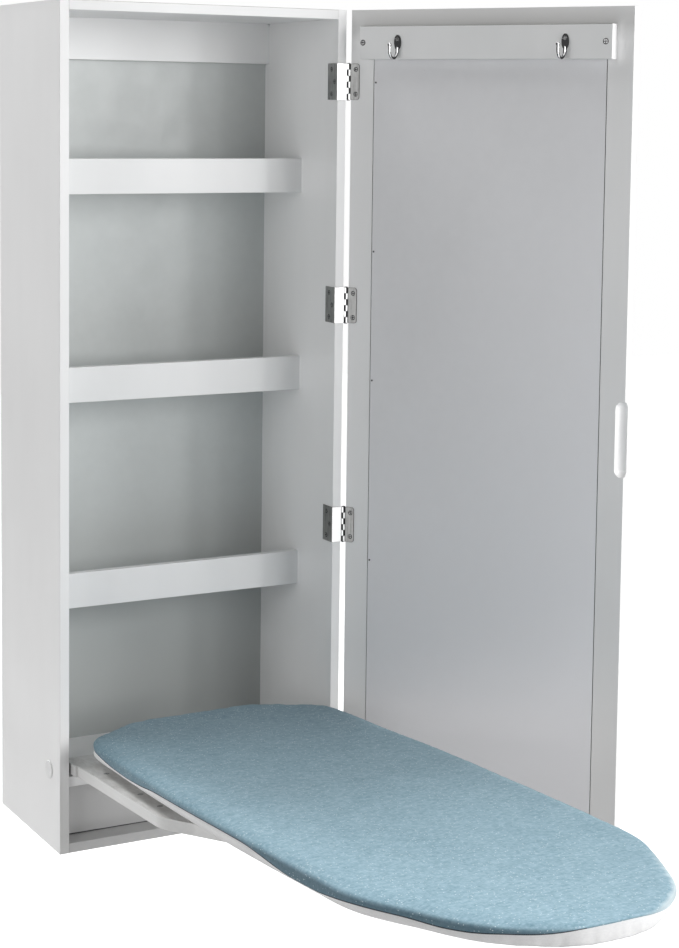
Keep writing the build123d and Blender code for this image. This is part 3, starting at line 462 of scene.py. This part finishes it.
def mirror_finish():
    """Silvered glass: bright, with a faint green cast and a little dust."""
    f = Finish("mirror_silver", Metallic=1.0)
    dust = f.spread(f.noise(30.0, 6.0, 0.7), 0.5, 0.8)
    f.put("Base Color", f.blend(dust, (0.80, 0.84, 0.82, 1), (0.72, 0.75, 0.74, 1)))
    f.put("Roughness", f.spread(f.noise(8.0, 5.0, 0.7), 0.4, 0.8, 0.02, 0.07))
    f.put("Normal", f.bump(f.noise(2.0, 1.0), 0.01, 1 * MM))
    return f.material


# ---------------------------------------------------------------- white paint
# From the door's hinges towards its free edge, as it stands open in the photograph.
FREE_SIDE = (0.5075, -0.8616, 0)
WHITE = painted("paint_white", grey(240), rgb(233, 234, 234))
# Painted light: lighter copies of the white paint for the left side, the right side's inner wall and
# the hanging rail. The left side's front edge also carries the board's painted shadow.
SIDE = painted("paint_white_side_lit", grey(245), grey(239), board_shadow_below=BOTTOM + 125 * MM)
WALL = painted("paint_white_wall_lit", grey(246), grey(240))
RAIL = painted("paint_white_rail_lit", grey(251), grey(247))
# The top panel's upper face is greyer, painted shade under the rear lamps.
TOP = painted("paint_white_top", grey(238), grey(232), ledge_shade=rgb(212, 211, 208))
# The door: painted shade above its hook batten, and a painted highlight on faces towards its free edge.
DOOR = painted(
    "paint_white_door", grey(241), grey(235), primed_and_shaded=False, lit_side=FREE_SIDE, shade_above_batten=22 * MM
)
# The hook batten: painted shade along its upper edge, and a painted highlight on its end.
LEDGE = painted(
    "paint_white_ledge_shade", grey(237), rgb(230, 231, 231), primed_and_shaded=False, lit_side=FREE_SIDE,
    ledge_shade=rgb(126, 125, 122),
)
# Greyer copies of the white paint for the bottom panel and the apron: painted shadow of the lowered
# board.
LOW = painted("paint_white_low_board_shadow", grey(190), grey(184))
APRON = painted("paint_white_apron_board_shadow", grey(208), grey(201), foot=BOTTOM + PANEL)
ENAMEL = painted("enamel_bracket", rgb(222, 222, 221), rgb(212, 212, 211))

# ---------------------------------------------------------------- sheets
# The back darkens towards the bottom, painted shade.
BACK = board_sheet(
    "sheet_back_grey_green", rgb(208, 212, 211), rgb(198, 202, 201), 0.34,
    ((0, 1), -0.62, -0.98), rgb(182, 186, 185), 0.25,
)
# The door's sheet lightens towards a lower corner, painted light.
SHEET = board_sheet(
    "sheet_door_blue_grey", rgb(229, 229, 231), rgb(221, 221, 223), 0.36,
    ((2, -0.5), 0.78, 1.28), rgb(246, 246, 249), 0.22, 1.6 * MM,
)
MIRROR = mirror_finish()

# ---------------------------------------------------------------- metal
# The hinges' pin axis in plan, the camera's right in plan, along which the painted light and
# shade of the barrels and hooks split, and the barrels' radius.
AXIS, CAMERA_RIGHT, BARREL = (0.2265, -0.2455), (0.875, -0.485), 3.2 * MM
ALONG_LEAF = (1, 1, 0.08)
# The hinge leaves: painted light and shade on their barrels, split opposite ways, and a painted
# highlight on the cabinet leaf's faces towards the viewer.
HINGE_CABINET = metal(
    "steel_hinge_cabinet", rgb(176, 176, 175), rgb(118, 118, 117), 0.34, ALONG_LEAF,
    grime_and_shade=0.6, edge=0.5 * MM, rim=0.6 * MM, turned=(AXIS, CAMERA_RIGHT, BARREL), highlight_side=TO_VIEWER,
)
HINGE_DOOR = metal(
    "steel_hinge_door", rgb(172, 172, 171), rgb(118, 118, 117), 0.34, ALONG_LEAF,
    grime_and_shade=0.9, edge=0.5 * MM, rim=0.6 * MM, turned=(AXIS, (-CAMERA_RIGHT[0], -CAMERA_RIGHT[1]), BARREL),
)
SCREW = metal(
    "steel_screw_bright", grey(246), grey(220), 0.3, grime_and_shade=1.0, reach=1.5 * MM, rim=1.7 * MM
)
DARK = metal(
    "steel_screw_dark", grey(226), grey(180), 0.3, grime_and_shade=1.0, reach=1.6 * MM, rim=2.3 * MM
)
PIN = metal("steel_pin_dark", rgb(74, 74, 75), rgb(50, 50, 52), 0.3, grime_and_shade=0.6)
ZINC = metal(
    "steel_zinc_plated", rgb(178, 180, 180), rgb(120, 122, 122), 0.36, (1, 0.1, 1), 0.3
)
MAGNET = metal("magnet_ferrite", rgb(70, 70, 72), rgb(44, 44, 46), 0.5)
CHROME = chromed("chrome_hook", (*CAMERA_RIGHT, 0), grey(236), rgb(58, 58, 59))

# ---------------------------------------------------------------- plastic, wood and cloth
PLASTIC = moulded("plastic_white", grey(240), grey(232), rim=1.6 * MM)
NYLON = moulded("nylon_natural", rgb(228, 226, 216), rgb(216, 213, 202), 0.45)
RUBBER = rubbery("rubber_black", rgb(44, 44, 46), rgb(30, 30, 32))
CORE = painted_wood(
    "core_white_board", rgb(236, 236, 234), rgb(226, 226, 224), rgb(214, 214, 212)
)
ARM = painted_wood("arm_white_wood", rgb(232, 232, 231), rgb(222, 222, 221), rgb(188, 186, 182))
COVER = fabric_blue()
LINING = fabric_plain("lining_white_cotton", grey(252), rgb(240, 240, 241))
HEM_DARK_BAND = fabric_plain("hem_dark_band", rgb(56, 66, 73), rgb(40, 48, 54), 900.0)

LOOKS = {
    WHITE: (
        "deck_panel stop_rail shelf_board_lower shelf_board_middle shelf_board_upper"
        " shelf_lip_lower shelf_lip_middle shelf_lip_upper"
    ),
    WALL: "right_side_panel",
    RAIL: "hanging_rail",
    TOP: "top_panel",
    DOOR: "door_stile_hinge door_stile_free door_rail_top door_rail_bottom",
    SIDE: "left_side_panel",
    LEDGE: "hook_batten",
    LOW: "bottom_panel",
    APRON: "apron_panel",
    BACK: "back_panel",
    SHEET: "backing_panel",
    HINGE_CABINET: "hinge_leaf_cabinet_lower hinge_leaf_cabinet_middle hinge_leaf_cabinet_upper",
    HINGE_DOOR: "hinge_leaf_door_lower hinge_leaf_door_middle hinge_leaf_door_upper",
    SCREW: "hinge_screws_cabinet hinge_screws_door",
    CHROME: "hook_left hook_right",
    DARK: "hook_screws batten_screws",
    PIN: "backing_pins hinge_pins",
    ZINC: "pivot_bolts pivot_nuts keyhole_hangers keyhole_screws strike_plate frame_screws",
    ENAMEL: "pivot_bracket_left pivot_bracket_right",
    PLASTIC: "pivot_cover_caps catch_housing",
    NYLON: "pivot_bushings pivot_spacers",
    RUBBER: "stop_pads",
    MAGNET: "catch_magnet",
    MIRROR: "mirror_glass",
    CORE: "board_core",
    ARM: "arm_left arm_right board_batten_rear board_batten_middle board_batten_front",
}
for material, names in LOOKS.items():
    for name in names.split():
        NODES[name].data.materials.clear()
        NODES[name].data.materials.append(material)


# ================================================================ board's outline
def outline_from_core(count):
    """The board's edge as evenly spaced points, counter-clockwise from the rear middle.

    Gives the points, the ways out from the board there, the run along the edge to each, and the
    whole edge's length.
    """
    middle = [0, -BOARD_END / 2]
    to_board = np.array(BOARD.inverted())
    places = np.array([v.co[:] for v in NODES["board_core"].data.vertices])
    local = places @ to_board[:3, :3].T + to_board[:3, 3]
    upper = np.abs(local[:, 2] - CORE_TOP) < 0.2 * MM
    rim = np.unique(np.round(local[upper][:, :2], 6), axis=0)
    rim = rim[np.argsort(np.arctan2(rim[:, 0], -(rim[:, 1] - middle[1])))]
    rim = rim[np.hypot(*(np.roll(rim, -1, 0) - rim).T) > 0.5 * MM]
    closed = np.vstack([rim, rim[:1]])
    step = np.hypot(*np.diff(closed, axis=0).T)[:, None]
    run = np.concatenate([[0], np.cumsum(step)])
    # A cubic curve through the rim's corners, so that no facet shows.
    after = np.diff(closed, axis=0) / step
    before, gone = np.roll(after, 1, 0), np.roll(step, 1, 0)
    slope = (step * before + gone * after) / (step + gone)
    even = np.linspace(0, run[-1], count, endpoint=False)
    piece = np.clip(np.searchsorted(run, even, side="right") - 1, 0, len(rim) - 1)
    span = step[piece]
    t = (even - run[piece])[:, None] / span
    start, end = closed[piece], closed[piece + 1]
    leave, arrive = slope[piece] * span, slope[(piece + 1) % len(rim)] * span
    points = (
        (2 * t**3 - 3 * t**2 + 1) * start
        + (t**3 - 2 * t**2 + t) * leave
        + (3 * t**2 - 2 * t**3) * end
        + (t**3 - t**2) * arrive
    )
    along = np.roll(points, -2, 0) - np.roll(points, 2, 0)
    along /= np.linalg.norm(along, axis=1)[:, None]
    outward = np.stack([along[:, 1], -along[:, 0]], 1)
    outward *= np.sign(((points - middle) * outward).sum(1))[:, None]
    for _ in range(3):
        outward = outward + np.roll(outward, 1, 0) + np.roll(outward, -1, 0)
        outward /= np.linalg.norm(outward, axis=1)[:, None]
    return points, outward, run[-1] * np.arange(count) / count, run[-1]


def smooth(value, low, high):
    """0 below one value, 1 above another, and an even curve between them."""
    t = np.clip((value - low) / (high - low), 0, 1)
    return t * t * (3 - 2 * t)


def ripple(run, length, waves, sway=0.0):
    """A sum of waves along a closed edge, given as size, whole turns and phase."""
    return sum(
        size * np.sin(2 * math.pi * run / length * turns + phase + sway * np.sin(run * 9 + phase))
        for size, turns, phase in waves
    )


# How far the blue hem hangs below the core's upper face along the left edge, as millimetres
# ahead of the pivot and millimetres down, and the same for the right edge.
HEM_LEFT = (
    (0, 2), (60, 4), (110, 5), (163, 10), (219, 11), (273, 9), (317, 5), (406, 3.5), (525, 1.6),
    (590, 1.4), (617, 3.5), (648, 6.5), (675, 9.7), (700, 12), (765, 12.2), (797, 8.5), (822, 6),
    (850, 4.2), (900, 4), (945, 6.6), (984, 4.8), (1005, 2), (1032, 0.8), (1047, -2.6), (1054, -6),
    (1060, -6.6),
)
HEM_RIGHT = (
    (0, 2), (90, 3), (190, 7), (260, 5), (380, 2.5), (470, 6.5), (560, 9), (640, 4), (760, 3),
    (860, 6), (930, 8), (990, 7), (1024, 3), (1046, -2.4), (1054, -6), (1060, -6.6),
)


def hem_heights(points):
    """Heights of the blue hem in the board's frame, at points on the edge."""
    ahead = -points[:, 1] / MM
    left = np.interp(ahead, *zip(*HEM_LEFT))
    right = np.interp(ahead, *zip(*HEM_RIGHT))
    share = smooth(points[:, 0], -6 * MM, 6 * MM)
    drop = left * (1 - share) + right * share
    for _ in range(4):
        drop = (np.roll(drop, 1) + 2 * drop + np.roll(drop, -1)) / 4
    return CORE_TOP - drop * MM


def make_mesh(name, places, faces, matrix=None, materials=(), smooth_faces=False):
    mesh = bpy.data.meshes.new(name)
    mesh.from_pydata([tuple(p) for p in places], [], faces)
    mesh.validate()
    for material in materials:
        mesh.materials.append(material)
    if smooth_faces:
        mesh.polygons.foreach_set("use_smooth", [True] * len(mesh.polygons))
    made = bpy.data.objects.new(name, mesh)
    made.matrix_world = matrix or Matrix.Identity(4)
    SCENE.collection.objects.link(made)
    return made


def ring_at(points, outward, out, height):
    """The edge's points moved out and set at a height, each one value or one for each point."""
    count = len(points)
    ring = points + outward * np.broadcast_to(out, (count,))[:, None]
    return np.column_stack([ring, np.broadcast_to(height, (count,))])


def ring_faces(count, level):
    """Quads between one ring of points and the next one up."""
    first, second = (level - 1) * count, level * count
    return [
        (first + i, first + (i + 1) % count, second + (i + 1) % count, second + i)
        for i in range(count)
    ]


# ================================================================ padded blue cover
SPACING = 8 * MM
FIELD = 52.7 * MM
RIM_LOW = 46.3 * MM
RIM_RADIUS = 7.6 * MM
# The narrow hem, as millimetres out from the core and up from the hem's height.
HEM_FOLD = ((0.2, 0.9), (0.6, 0.0), (1.1, 0.3), (1.3, 1.7))
HEM_OUT, HEM_UP = HEM_FOLD[-1]
DARK_BAND_LEVELS = (2, 3)
WAVES = ((0.35, 23, 0.4), (0.25, 37, 1.9), (0.18, 61, 4.0))


def stand_proud(points):
    """The cover stands proud all along its right side, most at the rear corner and the nose."""
    across, ahead = points[:, 0], -points[:, 1]
    nose = 4.6 * MM * smooth(across, 10 * MM, 65 * MM) * smooth(ahead, 0.80, 0.92)
    rear = 5.4 * MM * smooth(across, 20 * MM, 110 * MM) * (1 - smooth(ahead, 0.15, 0.32))
    side = 3.2 * MM * smooth(across, 60 * MM, 130 * MM)
    return np.maximum(np.maximum(nose, rear), side)


def cover_profile(hem, wave):
    """The cover's section from the hem up to the field: ways out from the core, and heights."""
    side_top = np.maximum(RIM_LOW, hem + 2.3 * MM)
    high = np.maximum(FIELD, side_top + 0.7 * MM)
    profile = [(out * MM, hem + up * MM) for out, up in HEM_FOLD]
    # The side leans in under the rim, down to the hem.
    for share in (0.25, 0.5, 0.75):
        height = (hem + HEM_UP * MM) * (1 - share) + side_top * share
        profile.append(((HEM_OUT + 1.2 * share) * MM + 0.5 * wave, height))
    for degrees in (0, 22, 44, 64, 80, 90):
        turn = math.radians(degrees)
        out = 2.4 * MM - RIM_RADIUS * (1 - math.cos(turn)) + 0.6 * wave * math.cos(turn)
        profile.append((out, side_top + (high - side_top) * math.sin(turn)))
    return profile


def grid_inside(edge):
    """An even field of points in a triangle pattern, clear of the edge that it fills."""
    xs = np.arange(-0.21, 0.21, SPACING)
    ys = np.arange(-1.07, 0.01, SPACING * math.sqrt(3) / 2)
    grid = np.array([(x + (j % 2) * SPACING / 2, y) for j, y in enumerate(ys) for x in xs])
    gap = np.min(np.linalg.norm(grid[:, None, :] - edge[None, ::2, :], axis=2), axis=1)
    # A point is inside where a line from it to the right crosses the edge an odd number of times.
    crossing = np.zeros(len(grid), int)
    for p, q in zip(edge, np.roll(edge, -1, 0)):
        spans = (p[1] > grid[:, 1]) != (q[1] > grid[:, 1])
        with np.errstate(divide="ignore", invalid="ignore"):
            at = (q[0] - p[0]) * (grid[:, 1] - p[1]) / (q[1] - p[1]) + p[0]
        crossing += spans & (grid[:, 0] < at)
    return grid[(crossing % 2 == 1) & (gap > 0.62 * SPACING)]


def fill_outline(edge):
    """Triangles that fill an edge, facing up. Numbers past the edge's own are the new points."""
    count = len(edge)
    flat = [Vector(p) for p in np.vstack([edge, grid_inside(edge)])]
    border = [(i, (i + 1) % count) for i in range(count)]
    corners, _, triangles, originals, _, _ = delaunay_2d_cdt(flat, border, [], 1, 1e-7)
    number, added = {}, []
    for k, source in enumerate(originals):
        if source and source[0] < count:
            number[k] = source[0]
        else:
            number[k] = count + len(added)
            added.append(tuple(corners[k]))
    spots = np.vstack([edge, added])
    faces = []
    for triangle in triangles:
        ids = [number[k] for k in triangle]
        first, second = spots[ids[1]] - spots[ids[0]], spots[ids[2]] - spots[ids[0]]
        if first[0] * second[1] - first[1] * second[0] < 0:
            ids.reverse()
        faces.append(ids)
    return added, faces


def build_cover():
    """The cover before it swells, with its number of points round the edge and of levels."""
    _, _, _, length = outline_from_core(64)
    count = int(length / SPACING)
    points, outward, run, _ = outline_from_core(count)
    wave = ripple(run, length, WAVES) * MM
    proud = stand_proud(points)
    profile = cover_profile(hem_heights(points), wave)
    places, faces, shades = [], [], []
    for level, (out, height) in enumerate(profile):
        places.append(ring_at(points, outward, out + proud * min(1.0, level / 4), height))
        if level:
            faces += ring_faces(count, level)
            # The dark band along the hem shows on the left alone.
            dark_band = (points[:, 0] < -40 * MM) & (level in DARK_BAND_LEVELS)
            shades += [int(dark) for dark in dark_band]
    places = np.vstack(places)
    added, triangles = fill_outline(places[-count:, :2])
    base = len(places) - count
    faces += [tuple(base + i for i in ids) for ids in triangles]
    shades += [0] * len(triangles)
    places = np.vstack([places, np.column_stack([added, np.full(len(added), FIELD)])])
    made = make_mesh("ironing_cover", places, faces, BOARD, [COVER, HEM_DARK_BAND], True)
    made.data.polygons.foreach_set("material_index", shades)
    return made, count, len(profile)


def places_of(mesh):
    return np.array([v.co[:] for v in mesh.vertices])


def as_shown(made):
    """The object as its modifiers leave it."""
    return made.evaluated_get(bpy.context.evaluated_depsgraph_get())


def puff(made, count, levels):
    """Swells the top with Blender's cloth, held along the hem and sides, then keeps the result."""
    start = places_of(made.data)
    held = made.vertex_groups.new(name="held")
    held.add(range(count * (levels - 4)), 1.0, "REPLACE")
    for step, weight in ((4, 0.8), (3, 0.4), (2, 0.15)):
        ring = range(count * (levels - step), count * (levels - step + 1))
        held.add(ring, weight, "REPLACE")
    cloth = made.modifiers.new("puff", "CLOTH")
    settings = cloth.settings
    settings.quality = 6
    settings.mass = 0.25
    settings.tension_stiffness = settings.compression_stiffness = 12
    settings.shear_stiffness = 4
    settings.bending_stiffness = 0.6
    settings.vertex_group_mass = "held"
    settings.use_pressure = True
    settings.uniform_pressure_force = 4.0
    settings.shrink_min = -0.012
    settings.effector_weights.gravity = 0.0
    cloth.collision_settings.use_collision = False
    cloth.collision_settings.use_self_collision = False
    frames = 20
    for number in range(1, frames + 1):
        SCENE.frame_set(number)
    shift = places_of(as_shown(made).data) - start
    made.modifiers.remove(cloth)
    SCENE.frame_set(1)
    reach = np.linalg.norm(shift, axis=1)
    most = 2.6 * MM
    shift *= (np.minimum(reach, most) / np.maximum(reach, 1e-9))[:, None]
    return start + shift


def crease(shape):
    """Slow hollows and creases of cloth laid over felt, kept under the pad's full height."""
    x, y, z = shape.T
    hollow = (
        0.55 * np.sin(x / 0.045 + 3.1 * np.sin(y / 0.17))
        + 0.45 * np.sin(y / 0.052 + 2.2 * np.sin(x / 0.11) + 0.7)
        + 0.25 * np.sin((x + y) / 0.021 + 1.3)
    )
    shape[:, 2] = z + smooth(z, 48 * MM, 52 * MM) * (hollow - 1.0) * 0.38 * MM
    shape[:, 2] = np.minimum(shape[:, 2], PAD_TOP - 0.1 * MM)


cover, rim_count, rim_levels = build_cover()
shape = puff(cover, rim_count, rim_levels)
crease(shape)
cover.data.vertices.foreach_set("co", shape.astype(np.float32).ravel())
cover.data.update()
finer = cover.modifiers.new("finer", "SUBSURF")
finer.levels = 1
finer.render_levels = 1
bpy.context.view_layer.update()
fine_mesh = bpy.data.meshes.new_from_object(as_shown(cover))
cover.modifiers.remove(finer)
cover.vertex_groups.clear()
cover.data = fine_mesh
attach(cover, "board")
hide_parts("board_pad", "board_cover")


# ================================================================ white gathered lining
RUFFLES = ((0.5, 61, 0.2), (0.4, 97, 1.1), (0.3, 151, 2.7), (0.2, 233, 4.4))


def lining_profile(hem, side, under):
    """The lining's section from under the hem, round the core's edge and in under the core."""
    top = np.minimum(hem + 2.4 * MM, PAD_TOP - 3.4 * MM)
    low = CORE_LOW - 0.1 * MM
    profile = [(0.3 * MM, top)]
    for share, bulge in ((0.15, 0.5), (0.35, 1.3), (0.55, 1.6), (0.75, 1.5), (0.92, 1.0)):
        out = bulge * MM + side * min(1, 1.4 * share) * 0.6
        profile.append((out, top * (1 - share) + low * share))
    profile.append((0.0 * MM, low - 0.5 * MM + 0.2 * side))
    turned_in = len(profile)
    widest = 22
    for reach in (3, 7, 11, 15, 19, widest):
        share = reach / widest
        height = low - 0.6 * MM + under * (0.35 + 0.65 * share) - 0.6 * MM * share
        profile.append((-reach * MM, height))
    # The raw edge is rolled up against the core.
    profile.append((-23.5 * MM, low - 2.2 * MM + under))
    profile.append((-25.3 * MM, low - 1.9 * MM + under))
    profile.append((-25.6 * MM, low - 0.9 * MM + 0.6 * under))
    for level in range(turned_in, len(profile)):
        out, height = profile[level]
        profile[level] = out, np.minimum(height, CORE_LOW - 0.25 * MM)
    return profile


def build_lining():
    count = 900
    points, outward, run, length = outline_from_core(count)
    ahead = -points[:, 1]
    nose = smooth(ahead, 0.95, 1.04)
    rear = 1 - smooth(ahead, 0.02, 0.12)
    ruffle = ripple(run, length, RUFFLES, 0.8)
    side = (0.25 + 1.0 * nose + 0.6 * rear) * MM * ruffle
    under = (0.5 + 0.3 * nose + 0.3 * rear) * MM * ruffle
    places, faces = [], []
    for level, (out, height) in enumerate(lining_profile(hem_heights(points), side, under)):
        places.append(ring_at(points, outward, out, height))
        if level:
            faces += [tuple(reversed(face)) for face in ring_faces(count, level)]
    lining = make_mesh("cover_lining", np.vstack(places), faces, BOARD, [LINING], True)
    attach(lining, "board")


build_lining()


# ================================================================ floor, lights and camera
def level_sheet(name, left, right, front, rear, height):
    corners = [(left, front), (right, front), (right, rear), (left, rear)]
    return make_mesh(name, [(*corner, height) for corner in corners], [(0, 1, 2, 3)])


def build_floor():
    half, drop = 9.0, 0.70
    floor = level_sheet("floor", -half, half, -half, half, BOTTOM - drop)
    f = Finish("floor_pale", Roughness=0.9, Emission_Color=(1, 1, 1, 1))
    f.put("Base Color", f.blend(f.wander(0.0, 1.0, f.noise(1.2, 4.0)), grey(188), grey(182)))
    # The floor fades to plain white away from the cabinet and its shadow.
    away = f.vector("LENGTH", f.coords())["Value"]
    f.put("Emission Strength", f.times(seen_plain(f.tree), f.spread(away, 2.3, 3.1, 0.75, 1.0)))
    floor.data.materials.append(f.material)


def build_scrim():
    """Gauze over the cabinet's top, which is much closer to the rear lamps than the board is."""
    corners = np.array(
        [
            tuple(NODES[name].matrix_world @ Vector(corner))
            for name in ("top_panel", "left_side_panel", "right_side_panel")
            for corner in NODES[name].bound_box
        ]
    )
    (left, front, _), (right, rear, top) = corners.min(axis=0), corners.max(axis=0)
    # It hangs just out of reach of the paint's corner dust and painted shade,
    # and leans out on the lamps' side.
    lift, past_rear, past_left = 7 * MM, 6 * MM, 3 * MM
    scrim = level_sheet("scrim", left - past_left, right, front, rear + past_rear, top + lift)
    gauze = bpy.data.materials.new("scrim_gauze")
    gauze.use_nodes = True
    tree = gauze.node_tree
    tree.nodes.clear()
    passed = 0.42
    thin = add_node(tree, "ShaderNodeBsdfTransparent", {"Color": (passed, passed, passed, 1)})
    add_node(tree, "ShaderNodeOutputMaterial", {0: thin.outputs[0]})
    scrim.data.materials.append(gauze)
    scrim.visible_camera = scrim.visible_glossy = False


def build_world(ambient):
    """Plain white where it is seen, and only a little light from all round on the part."""
    world = bpy.data.worlds.new("studio")
    SCENE.world = world
    world.use_nodes = True
    tree = world.node_tree
    tree.nodes.clear()
    shown = add_node(
        tree, "ShaderNodeBackground", {"Color": (1, 1, 1, 1), "Strength": 1.0}
    )
    lit = add_node(
        tree, "ShaderNodeBackground", {"Color": (0.97, 0.985, 1.0, 1), "Strength": ambient}
    )
    mixed = add_node(
        tree, "ShaderNodeMixShader", {0: seen_plain(tree), 1: lit.outputs[0], 2: shown.outputs[0]}
    )
    add_node(tree, "ShaderNodeOutputWorld", {0: mixed.outputs[0]})


def build_lamp(name, azimuth, elevation, distance, width, height, power):
    """A soft box aimed at the middle. Azimuth runs from the front towards the viewer's right."""
    aim = Vector((0.05, -0.25, -0.6))
    turn, rise = math.radians(azimuth), math.radians(elevation)
    direction = Vector(
        (math.sin(turn) * math.cos(rise), -math.cos(turn) * math.cos(rise), math.sin(rise))
    )
    lamp = bpy.data.lights.new(name, "AREA")
    lamp.shape = "RECTANGLE"
    lamp.size, lamp.size_y = width, height
    lamp.energy = power
    holder = bpy.data.objects.new(name, lamp)
    holder.location = aim + direction * distance
    holder.rotation_euler = direction.to_track_quat("Z", "Y").to_euler()
    holder.visible_camera = False
    SCENE.collection.objects.link(holder)


# Name, azimuth and elevation in degrees, distance, width and height in metres, watts.
LAMPS = (
    ("lamp_key_1", 15, 12, 4.0, 0.9, 1.8, 22.0),
    ("lamp_key_2", 25, 12, 4.0, 0.9, 1.8, 15.0),
    ("lamp_key_3", 35, 12, 4.0, 0.9, 1.8, 39.0),
    ("lamp_key_4", 45, 12, 4.0, 0.9, 1.8, 40.0),
    ("lamp_left", -60, 10, 4.0, 2.0, 2.6, 41.0),
    ("lamp_rear_low", 180, 45, 3.8, 2.4, 1.2, 97.0),
    ("lamp_rear_high", 180, 60, 3.8, 1.6, 1.6, 157.0),
    ("lamp_top_left", -130, 58, 3.8, 1.6, 1.6, 52.0),
)
for lamp in LAMPS:
    build_lamp(*lamp)
build_world(0.01)
build_floor()
build_scrim()

# The photograph's camera: its frame, the pixel it looks straight at, its focal length in pixels,
# its turns in degrees and its place.
FRAME_WIDTH, FRAME_HEIGHT = 679, 948
SIGHT_X, SIGHT_Y = 355, 300
FOCAL = 2058.55
YAW, PITCH, ROLL = 29.0059, 5.2881, 0.7318
EYE = (-1.2375, -2.9138, -0.0999)


def build_camera():
    yaw, pitch, roll = (math.radians(v) for v in (YAW, PITCH, ROLL))
    forward = Vector((math.sin(yaw), math.cos(yaw), 0))
    right = Vector((math.cos(yaw), -math.sin(yaw), 0))
    up = Vector(UP)
    ahead = math.cos(pitch) * forward - math.sin(pitch) * up
    over = math.cos(pitch) * up + math.sin(pitch) * forward
    side = math.cos(roll) * right + math.sin(roll) * over
    over = math.cos(roll) * over - math.sin(roll) * right
    data = bpy.data.cameras.new("camera")
    data.sensor_width = 36.0
    data.lens = FOCAL / FRAME_HEIGHT * data.sensor_width
    data.shift_x = (FRAME_WIDTH / 2 - SIGHT_X) / FRAME_HEIGHT
    data.shift_y = (SIGHT_Y - FRAME_HEIGHT / 2) / FRAME_HEIGHT
    data.clip_start, data.clip_end = 0.05, 60
    holder = bpy.data.objects.new("camera", data)
    rows = [(side[i], over[i], -ahead[i], EYE[i]) for i in range(3)]
    holder.matrix_world = Matrix((*rows, (0, 0, 0, 1)))
    SCENE.collection.objects.link(holder)
    SCENE.camera = holder


build_camera()
SCENE.view_settings.view_transform = "Standard"
